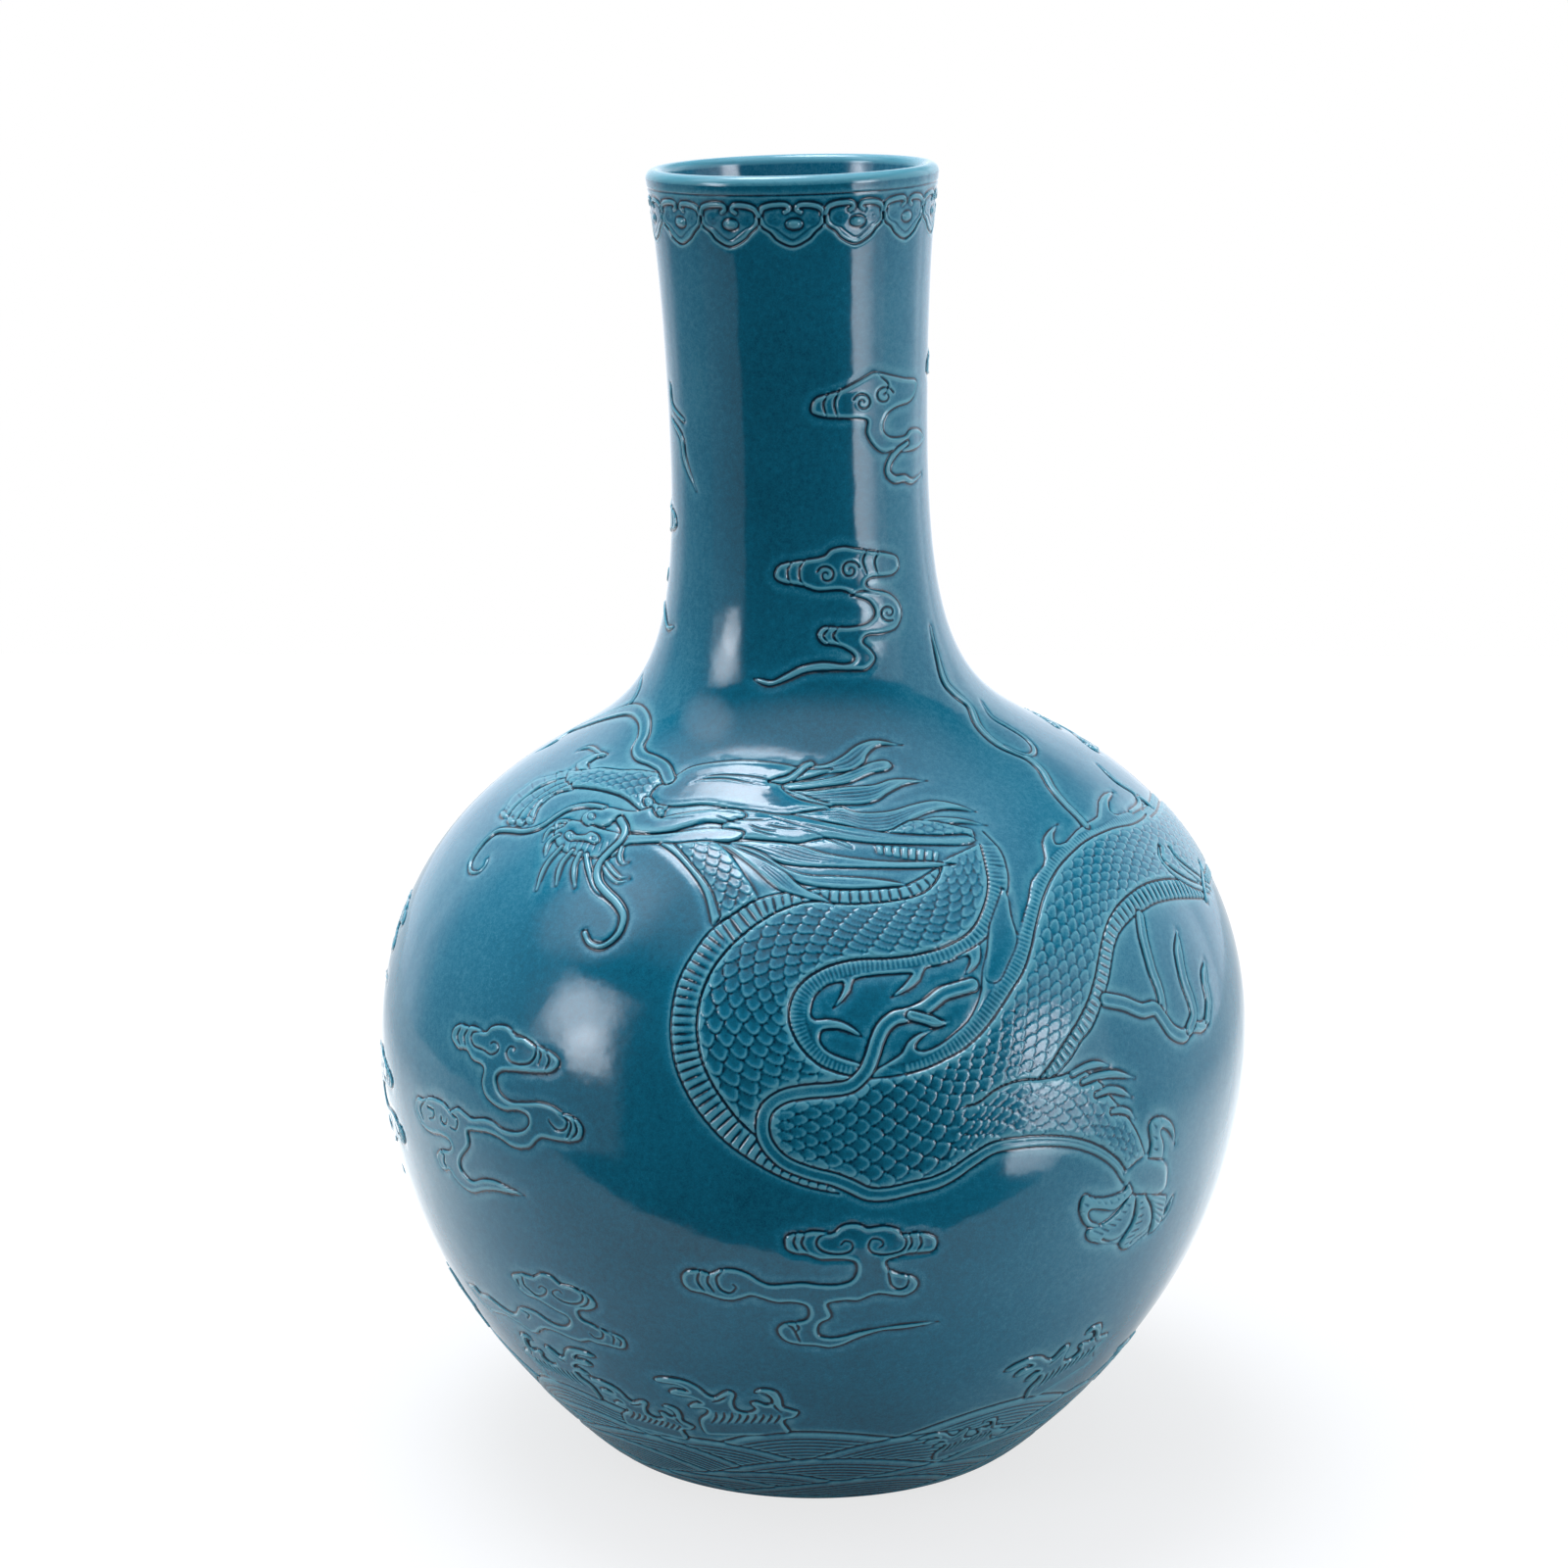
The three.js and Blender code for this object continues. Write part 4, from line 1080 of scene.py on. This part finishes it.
def sides(path, widths):
    """Two lines along a path, each half a width in mm from it."""
    step = np.gradient(path, axis=0)
    out = np.stack([-step[:, 1], step[:, 0]], -1) / np.hypot(*step.T)[:, None]
    width = np.interp(np.linspace(0, 1, len(path)), np.linspace(0, 1, len(widths)), widths)
    half = (width / 2 / cell[path[:, 1].astype(int)])[:, None]
    return path + out * half, path - out * half


def claws(turn, level, tilt):
    """A paw with four hooked fingers spread from its palm."""
    hooked_finger = [(0, 0), (5, 1.5), (11, 2), (16, 0), (18, -4)]
    palm = [(-5, 0), (-2, 4.5), (3, 4.5), (6, 0), (3, -4.5), (-2, -4.5)]
    for spread in (-52, -22, 8, 38):
        cord(sketch(hooked_finger, turn, level, tilt + spread), 4.2, 0.8, 0.9, 0.15)
    panel(sketch(palm, turn, level, tilt, True), 0.9, 2, 0.5)


trunk_places = [(76, 270), (80, 269), (94, 264), (109, 246), (121, 214), (128, 176), (142, 146),
    (162, 138), (178, 152), (186, 182), (194, 216), (210, 234), (227, 228), (238, 206), (243, 182),
    (250, 166)]
trunk = smooth(place(*np.array(trunk_places).T), fine=10)
lower_side, upper_side = sides(trunk, [34, 34, 34, 32, 28, 24, 18, 12, 7])[::-1]
lower_rim, upper_rim = sides(trunk, [44, 45, 45, 42, 37, 32, 24, 16, 9])[::-1]
hatched_band(upper_side, upper_rim, 2.0)
ribbed_band(lower_rim, lower_side, 3.7)
scaled_band(lower_side, upper_side, 5.0, 6)
for side in (lower_side, upper_side, lower_rim, upper_rim):
    line(side, 1.1, 0.6, 1, 0.6)
for k in range(12, len(trunk) - 18, 13):
    rim, out = upper_rim[k], upper_rim[k] - upper_side[k]
    ahead = trunk[k + 1] - trunk[k]
    ahead = ahead / np.hypot(*ahead) * np.hypot(*out)
    barb = [rim - out * 0.3, rim + out * 0.7 - ahead * 0.2, rim + out * 1.2 - ahead]
    cord(smooth(barb), 3.2, 0.6, 1, 0.12)
for tuft in ([(1182, 864), (1184, 877), (1197, 891), (1217, 903), (1233, 908)],
        [(1192, 866), (1202, 880), (1218, 893), (1234, 905)],
        [(1222, 880), (1226, 890), (1228, 903), (1231, 918)]):
    cord(drawn(tuft), 3.0, 0.6, 0.3, 0.9)
for spread in (-50, -25, 0, 25, 50):
    cord(sketch([(0, 0), (10, 2), (20, 0), (30, 4)], 252, 163, spread - 60), 4, 0.6, 0.8, 0.1)
for haunch, foot_place, tilt in (([(118, 224), (110, 205), (104, 178), (94, 158)], (92, 152), -120),
        ([(188, 190), (200, 186), (212, 176), (220, 160)], (222, 156), -60)):
    limb = smooth(place(*np.array(haunch).T), fine=12)
    under, over = sides(limb, [8, 29, 34, 31, 25, 18, 13, 11])
    scaled_band(over, under, 3.8, 5, base=0.4)
    for side in (under, over):
        line(side, 1.2, 0.6, 1, 1)
    claws(*foot_place, tilt)

pearl_place, pearl_radius = (248, 262), 11
flare = np.array([(-2, 0), (6, 3), (12, 1), (19, 6)]) + [pearl_radius, 0]
for spread in range(20, 360, 40):
    cord(sketch(flare, *pearl_place, spread), 3.4, 0.55, 1, 0.1)
turn = np.linspace(0, 2 * np.pi, 17)[:-1]
circle = pearl_radius * np.stack([np.cos(turn), np.sin(turn)], -1)
panel(sketch(circle, *pearl_place, 0, True), 1.3, 9, 0.6)
t = np.linspace(0, 0.8, 14)
scroll = 7 * (1 - t) * [np.cos(8 * t), np.sin(8 * t)]
line(sketch(scroll.T, *pearl_place), 1.0, 0.45)


# The sea rises round the foot: swells overlap like wide scales, ruled with the lines of
# the water, and foam curls off the crests.
row_up = np.concatenate([[0], np.cumsum(np.hypot(np.diff(row_r), np.diff(row_z)))])


def swell(turn, half, crest, drop, skew=0.0, rise=0.42, pitch=2.9):
    """One swell, with lines under its crest that follow the edge. Crest and drop are
    lengths up the wall from the foot, and half is its half width in degrees."""
    middle = turn / 360 * columns + columns / 2
    reach = half / 360 * columns
    c = np.arange(int(middle - reach), int(middle + reach) + 1)
    u = (c - middle) / reach
    bent = u + skew * (1 - u * u)
    top = crest - drop * np.abs(bent) ** 1.9
    low, high = np.searchsorted(row_up, (max(crest - drop - 14, 0), crest + 2))
    r = np.arange(low, high)
    slope = np.gradient(top) / cell[int((low + high) / 2)]
    below = (top[None] - row_up[r][:, None]) / np.sqrt(1 + slope ** 2)[None]
    at = (r[:, None], c[None] % columns)
    field = 0.12 + (rise - 0.012 * below) * ease(below / 1.6)
    under_edge = below - 3.6
    field -= 0.42 * bell((np.mod(under_edge, pitch) - pitch / 2) / 0.75) * ease(under_edge / 0.5)
    cover = ease(below / 0.4 + 0.5)
    relief[at] = relief[at] * (1 - cover) + field * cover - 0.65 * bell((below + 0.35) / 0.85)


foam_comb = [[(x, 1440 + 0.05 * (x - 730)), (x, 1446), (x - 5, 1452)] for x in range(731, 796, 8)]
foam_crest = cloud([
    (667, 1408), (673, 1405), (687, 1406), (700, 1409), (712, 1415), (722, 1423), (730, 1425),
    (737, 1421), (744, 1419), (750, 1423), (748, 1431), (751, 1438), (760, 1441), (768, 1440),
    (771, 1437), (766, 1432), (772, 1430), (782, 1433), (788, 1431), (787, 1426), (779, 1421),
    (770, 1422), (773, 1418), (782, 1417), (792, 1420), (797, 1427), (799, 1435), (807, 1438),
    (815, 1441), (811, 1446), (802, 1448), (800, 1452), (806, 1462), (790, 1464), (760, 1464),
    (735, 1464), (720, 1462), (714, 1449), (722, 1442), (720, 1437), (703, 1436), (708, 1431),
    (716, 1431), (706, 1426), (694, 1424), (683, 1421), (688, 1417), (702, 1419), (692, 1413),
    (679, 1411)],
    foam_comb + [[(727, 1430), (735, 1428), (742, 1424)],
        [(777, 1423), (786, 1427), (791, 1435), (798, 1441)]])


def foam(*where):
    """A breaking crest with hooked fingers, and a comb of short cuts in it."""
    paths = moved(foam_crest, *where) if where else foam_crest
    panel(paths[0], rise=0.7, edge=1.3, cut=0.7, cut_width=1.0, rim=0.35, sink=0.25)
    for cut in paths[1:]:
        line(cut, 1.5, 0.6, 0.6, 0.5, 0.25)


foam()
for where in ((40, 70, 1, 0.95, 14), (92, 70, -1, 1.0, 0), (141, 70, 1, 1.1, 6), (189, 68, -1, 1.0, -5),
              (234, 70, 1, 1.05, 4), (283, 70, 1, 1.0, 0), (318, 66, -1, 0.9, 6)):
    foam(*where)
swells_in_a_row, foam_row = 10, 58
swell_rows = ((72, 26, 28, 0), (58, 26, 27, 20), (45, 26, 26, 5), (32, 27, 25, 24), (19, 27, 21, 12),
              (7, 28, 14, 0))
for crest, half, drop, start in swell_rows:
    for k in range(swells_in_a_row):
        turn = start + 360 / swells_in_a_row * k + 5 * np.sin(2.3 * k + crest)
        high = 4 * np.sin(1.7 * k + 0.3 * crest)
        swell(turn - 180, half + 5 * np.sin(3.1 * k), crest + high, drop, 0.25 * np.sin(1.1 * k + crest))
    if crest == foam_row:
        for where in ((-29, 51, 1, 0.8, -12), (27, 36, 1, 0.7, 8), (70, 46, 1, 0.8, 0),
                (118, 44, -1, 0.8, 0), (165, 42, 1, 0.75, 5), (212, 46, -1, 0.8, 0),
                (259, 42, 1, 0.8, 0)):
            foam(*where)

# The outer glaze melts over the carving: it levels the finest cuts, pools in the grooves
# and runs thin off the edges. Its mesh is fine where the surface turns and coarse where it
# is smooth.
def blur(field, spread):
    """Gaussian blur with one spread in mm everywhere: along each row through its Fourier
    series, and up the columns by adding shifted rows."""
    wave = np.fft.rfft(field, axis=1)
    wave *= np.exp(-0.5 * (spread / cell[:, None] * np.arange(wave.shape[1]) * cell_turn) ** 2)
    reach = int(3 * spread / cell.min())
    field = np.fft.irfft(wave, columns, axis=1)
    field = np.pad(field, ((reach, reach), (0, 0)), "edge").astype(np.float32)
    total, weights = np.zeros((rows + 1, columns), np.float32), np.zeros((rows + 1, 1), np.float32)
    for step in range(-reach, reach + 1):
        weight = np.exp(-0.5 * (step * cell[:, None] / spread) ** 2).astype(np.float32)
        total += weight * field[reach + step:reach + step + rows + 1]
        weights += weight
    return total / weights


level_blur, pool_blur, halo_blur = 0.32, 1.3, 3.2
relief *= (ease(row_up / 2.5) * ease((row_up[-1] - row_up) / 2.5))[:, None]
glaze = blur(relief, level_blur)
soft_relief = blur(relief, pool_blur)
wide_relief = blur(relief, halo_blur)
thinned = blur(np.abs(relief - soft_relief), pool_blur)
pool = (soft_relief - glaze) * 2.9 - thinned * 0.5 - np.maximum(wide_relief - soft_relief, 0) * 1.5


def outwards(r, z):
    """The direction square to a section of radius and height, out of its wall."""
    slope_r, slope_z = np.gradient(r), np.gradient(z)
    long = np.hypot(slope_r, slope_z)
    return slope_z / long, -slope_r / long


def surface(height):
    """Every lattice point of the leaned wall, raised by a height along the wall's normal."""
    out_r, out_z = outwards(row_r, row_z)
    turn = (np.arange(columns) * cell_turn - np.pi)[None]
    radius = row_r[:, None] + height * out_r[:, None]
    level = row_z[:, None] + height * out_z[:, None]
    x, z = leaned(radius * np.sin(turn), level)
    return np.stack([x, -radius * np.cos(turn), z], -1).astype(np.float32)


points = surface(glaze)
round_step = np.roll(points, -1, 1) - np.roll(points, 1, 1)
up_step = np.gradient(points, axis=0)
normals = np.cross(round_step, up_step)
normals /= np.linalg.norm(normals, axis=-1, keepdims=True)


def uneven(field, size):
    """How far each block of a size departs from the surface that its corners span."""
    wrapped = np.concatenate([field, field[:, :1]], 1)
    corner = wrapped[::size, ::size]
    worst = np.zeros((corner.shape[0] - 1, corner.shape[1] - 1), np.float32)
    last_row, last_column = ((count - 1) * size + 1 for count in worst.shape)
    for j in range(size + 1):
        for i in range(size + 1):
            v, u = j / size, i / size
            flat = ((1 - v) * ((1 - u) * corner[:-1, :-1] + u * corner[:-1, 1:])
                    + v * ((1 - u) * corner[1:, :-1] + u * corner[1:, 1:]))
            part = wrapped[j:j + last_row:size, i:i + last_column:size]
            worst = np.maximum(worst, np.abs(part - flat))
    return worst


def beside(flags):
    """The flagged blocks with their eight neighbours, round the seam too, as flags of the
    blocks that hold them."""
    flags = flags | np.roll(flags, 1, 1) | np.roll(flags, -1, 1)
    flags[1:], flags[:-1] = flags[1:] | flags[:-1], flags[:-1] | flags[1:]
    return flags.reshape(flags.shape[0] // 2, 2, -1, 2).any((1, 3))


finest = {8: 0.031, 4: 0.036, 2: 0.052}
split = {size: uneven(glaze, size) + 0.03 * uneven(pool, size) > finest[size] for size in (8, 4, 2)}
split[4] |= beside(split[2])
split[8] |= beside(split[4])
grown = lambda flags: flags.repeat(2, 0).repeat(2, 1)
split[4] &= grown(split[8])
split[2] &= grown(split[4])
leaves = {8: ~split[8], 4: grown(split[8]) & ~split[4],
          2: grown(split[4]) & ~split[2], 1: grown(split[2])}
used = np.zeros((rows + 1, columns), bool)
corners = []
for size, leaf in leaves.items():
    j, i = (v.astype(np.int64) * size for v in np.nonzero(leaf))
    corners.append(np.stack([j, i, np.full_like(j, size)], -1))
    for dj in (0, size):
        for di in (0, size):
            used[j + dj, (i + di) % columns] = True
corners = np.concatenate(corners)

bands = [("sea", 0), ("belly", 95), ("shoulder", 232), ("neck", 360)]
faces_of_vase = ["front", "front_right", "back_right", "back", "back_left", "front_left"]


def shell(name, node, material, xyz, faces, starts, normal, attributes=(), uv=None):
    """A piece of the vase's skin as a mesh in metres, shaded by its own exact normals."""
    mesh = bpy.data.meshes.new(name)
    mesh.vertices.add(len(xyz))
    mesh.vertices.foreach_set("co", (xyz * mm).astype(np.float32).ravel())
    mesh.loops.add(len(faces))
    mesh.loops.foreach_set("vertex_index", faces.astype(np.int32))
    mesh.polygons.add(len(starts))
    mesh.polygons.foreach_set("loop_start", starts.astype(np.int32))
    mesh.update(calc_edges=True)
    mesh.polygons.foreach_set("use_smooth", np.ones(len(starts), bool))
    for label, values in dict(attributes).items():
        mesh.attributes.new(label, "FLOAT", "POINT").data.foreach_set("value", values.astype(np.float32))
    if uv is not None:
        mesh.uv_layers.new(name="OFBake").data.foreach_set("uv", uv[faces].astype(np.float32).ravel())
    mesh.normals_split_custom_set_from_vertices(normal.astype(np.float32))
    mesh.materials.append(material)
    piece = bpy.data.objects.new(name, mesh)
    bpy.context.scene.collection.objects.link(piece)
    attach(piece, "root")
    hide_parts(node)
    return piece


def glassy(name, thin, middle, thick, roughness):
    """Turquoise glaze: pale where it runs thin, deep where it pools, clouded and speckled
    in the melt, and darkened down the side that faces the front as painted shade. A fine
    net of crazing lies under a gloss that waves a little."""
    material, melt, finish = new_material(name)
    place_in = melt.node("ShaderNodeTexCoord", output=3)
    pooled = melt.node("ShaderNodeAttribute", output=2, set={"attribute_name": "pool"})
    clouds = melt.node("ShaderNodeTexNoise", Vector=place_in, Scale=22.0, Detail=3.0) - 0.5
    mottle = melt.node("ShaderNodeTexNoise", Vector=place_in, Scale=420.0, Detail=3.0) - 0.5
    specks = melt.node("ShaderNodeTexNoise", Vector=place_in, Scale=1500.0, Detail=1.0) - 0.5
    craze = melt.node("ShaderNodeTexVoronoi", output=0, set={"feature": "DISTANCE_TO_EDGE"},
                      Vector=place_in, Scale=520.0, Randomness=1.0)
    craze = 1 - craze.ramp(0.0, 0.09)
    # Painted shade: the glaze is darkened on the side that faces the front of the room, where the dark
    # room leaves it in shade.
    place_x, place_y, _ = place_in.parts()
    front_x, front_y = -0.14, -0.99
    painted_front_shade = (place_x * front_x + place_y * front_y) / (place_x * place_x + place_y * place_y) ** 0.5
    depth = 0.455 + pooled + clouds * 0.24 + mottle * 0.3 + specks * 0.26 - craze * 0.06
    depth = depth + painted_front_shade.ramp(0.7, 1.0) * 0.19
    stops = [(0.02, thin), (0.5, middle), (0.98, thick)]
    tone = depth.node("ShaderNodeValToRGB", set={"stops": stops}, Fac=depth)
    wave = melt.node("ShaderNodeTexNoise", Vector=place_in, Scale=48.0, Detail=3.0, Roughness=0.45)
    bump = melt.node("ShaderNodeBump", Strength=0.3, Distance=0.001, Height=wave)
    finish(melt.node("ShaderNodeBsdfPrincipled", Base_Color=tone, Roughness=roughness + mottle * 0.05,
                     Normal=bump, IOR=1.5))
    return material


thin_glaze, middle_glaze, thick_glaze = (0.095, 0.33, 0.41), (0.006, 0.152, 0.24), (0.001, 0.02, 0.038)
turquoise = glassy("turquoise glaze", thin_glaze, middle_glaze, thick_glaze, 0.09)

block_band = np.searchsorted([low for _, low in bands], row_z[:-1:coarse] + 0.01, "right") - 1
block_turn = (np.arange(columns // coarse) + 0.5) * coarse / columns * 360 - 180
block_face = ((block_turn + 30) // 60 % 6).astype(int)
block_piece = block_band[:, None] * 6 + block_face
leaf_piece = block_piece[corners[:, 0] // coarse, corners[:, 1] // coarse]
for number in np.unique(leaf_piece):
    j, i, size = corners[leaf_piece == number].T
    near_side, middle, far_side = 0 * size, size // 2, size
    round_a_block = ((near_side, near_side), (near_side, middle), (near_side, far_side),
        (middle, far_side), (far_side, far_side), (far_side, middle), (far_side, near_side),
        (middle, near_side))
    ring = np.stack([[j + up, i + across] for up, across in round_a_block], -1)
    kept = used[ring[0], ring[1] % columns]
    kept[:, 1::2] &= (size > 1)[:, None]
    flat_j, flat_i = ring[0][kept], ring[1][kept]
    counts = kept.sum(1)
    keys, faces = np.unique(flat_j * (2 * columns) + flat_i, return_inverse=True)
    node_j, node_i = keys // (2 * columns), keys % (2 * columns)
    at = node_j, node_i % columns
    uv = np.stack([(steps - steps.min()) / np.ptp(steps) for steps in (node_i, node_j)], -1)
    name = f"glaze_{bands[number // 6][0]}_{faces_of_vase[number % 6]}"
    shell(name, "outer_glaze", turquoise, points[at], faces,
          np.concatenate([[0], np.cumsum(counts)[:-1]]), normals[at], {"pool": pool[at]}, uv)


# The rounded lip is bare of carving. The glaze rolls over it and a little way down inside,
# and it runs thin on the crown.
def turned(name, node, material, r, z, ring_columns, pool_value, close=False):
    """A section of radius and height turned round the leaned axis through given columns."""
    turn = ring_columns * cell_turn - np.pi
    out_r, out_z = (part[:, None] for part in outwards(r, z))
    x, zz = leaned(r[:, None] * np.sin(turn), z[:, None] + 0 * turn)
    xyz = np.stack([x, -r[:, None] * np.cos(turn) + 0 * zz, zz], -1)
    normal = np.stack([out_r * np.sin(turn), -out_r * np.cos(turn), out_z + 0 * turn], -1)
    rows_here, around_here = xyz.shape[:2]
    j, i = np.meshgrid(np.arange(rows_here - 1), np.arange(around_here), indexing="ij")
    right = (i + 1) % around_here
    quad = np.stack([j * around_here + i, j * around_here + right,
                     (j + 1) * around_here + right, (j + 1) * around_here + i], -1).reshape(-1, 4)
    xyz, normal = xyz.reshape(-1, 3), normal.reshape(-1, 3)
    faces, starts = quad.ravel(), np.arange(len(quad)) * 4
    pools = np.repeat(pool_value, around_here)
    if close:
        edge = (rows_here - 1) * around_here + np.arange(around_here)
        fan = np.stack([edge, np.roll(edge, -1), np.full(around_here, len(xyz))], -1)
        starts = np.concatenate([starts, len(faces) + 3 * np.arange(around_here)])
        faces = np.concatenate([faces, fan.ravel()])
        xyz = np.concatenate([xyz, xyz[edge].mean(0)[None]])
        normal = np.concatenate([normal, [[0, 0, 1]]])
        pools = np.append(pools, pool_value[-1])
    return shell(name, node, material, xyz, faces, starts, normal, {"pool": pools})


lower_wall, upper_wall, neck_wall = 8.0, 7.0, 5.0
outer_coat, inner_coat, seat_gap = 1.0, 0.8, 0.3
neck_joint_height, lip_turn_down = 346.0, 14.0
mouth_level = overall_height - lip_turn_down
to_upper = ease(profile_z / belly_height)
to_neck = ease((profile_z - belly_height) / (neck_joint_height - belly_height))
wall = lower_wall + (upper_wall - lower_wall) * to_upper + (neck_wall - upper_wall) * to_neck
depth_in = outer_coat + seat_gap + wall + seat_gap + inner_coat
out_r, out_z = outwards(profile_r, profile_z)
inner_r, inner_z = profile_r - out_r * depth_in, profile_z - out_z * depth_in
lip_r, lip_z = row_r[-1], row_z[-1]
inner_lip_z = lip_z + 0.02
inner_lip_r = np.interp(inner_lip_z, inner_z, inner_r)
crown = np.linspace(0, np.pi, 25)
lip_half = (lip_r - inner_lip_r) / 2
crown_r = (lip_r + inner_lip_r) / 2 + np.cos(crown) * lip_half
crown_z = lip_z + np.sin(crown) * (overall_height - lip_z)
down_z = np.linspace(lip_z, mouth_level, 8)[1:]
down_r = np.interp(down_z, inner_z, inner_r)
lip_columns = np.nonzero(used[-1])[0]
section_r, section_z = np.concatenate([crown_r, down_r]), np.concatenate([crown_z, down_z])
thin_at_crown = -0.9 * np.concatenate([np.sin(crown) ** 0.5, np.zeros(len(down_z))])
turned("glaze_lip", "outer_glaze", turquoise, section_r, section_z,
       lip_columns, thin_at_crown)

# The glaze ends in a narrow roll just above the foot's standing edge, which was wiped clean
# before firing.
roll = np.linspace(-np.pi, 0, 9)
roll_half = 0.8
turned("glaze_foot", "outer_glaze", turquoise,
       row_r[0] - roll_half + roll_half * np.cos(roll), row_z[0] + roll_half * np.sin(roll),
       np.nonzero(used[0])[0], np.linspace(-0.3, 0, len(roll)))

# The inner glaze was poured in and swilled round. It lines the hollow and the floor with
# its rounded corner, and it is thinner and lighter than the outside.
clay_floor, cove_rise, cove_reach = 26.4, 18, 20
floor_level = clay_floor + seat_gap + inner_coat
inner_turquoise = glassy("inner turquoise glaze", (0.2, 0.5, 0.6), (0.05, 0.38, 0.58),
                         (0.006, 0.11, 0.19), 0.1)
shoulder_level = 300
inside_z = np.concatenate([np.linspace(mouth_level, shoulder_level, 36),
                           np.linspace(shoulder_level, floor_level + cove_rise, 40)[1:]])
inside_r = np.interp(inside_z, inner_z, inner_r)
corner_r = np.interp(floor_level, inner_z, inner_r)
t = np.linspace(0, 1, 10)[1:]
cove_r = (1 - t) ** 2 * inside_r[-1] + 2 * (1 - t) * t * corner_r + t ** 2 * (corner_r - cove_reach)
cove_z = (1 - t) ** 2 * inside_z[-1] + 2 * (1 - t) * t * floor_level + t ** 2 * floor_level
floor_r = np.array([0.8, 0.5, 0.2, 0.02]) * cove_r[-1]
lining_r = np.concatenate([inside_r, cove_r, floor_r])
lining_z = np.concatenate([inside_z, cove_z, 0 * floor_r + floor_level])
turned("glaze_inside", "inner_glaze", inner_turquoise, lining_r, lining_z,
       lip_columns, 0 * lining_r, close=True)

# The base glaze is a thin coat in the recess under the floor. It keeps its solid, and it is
# the same glaze as inside.
dress("base_glaze", inner_turquoise)

low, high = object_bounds()
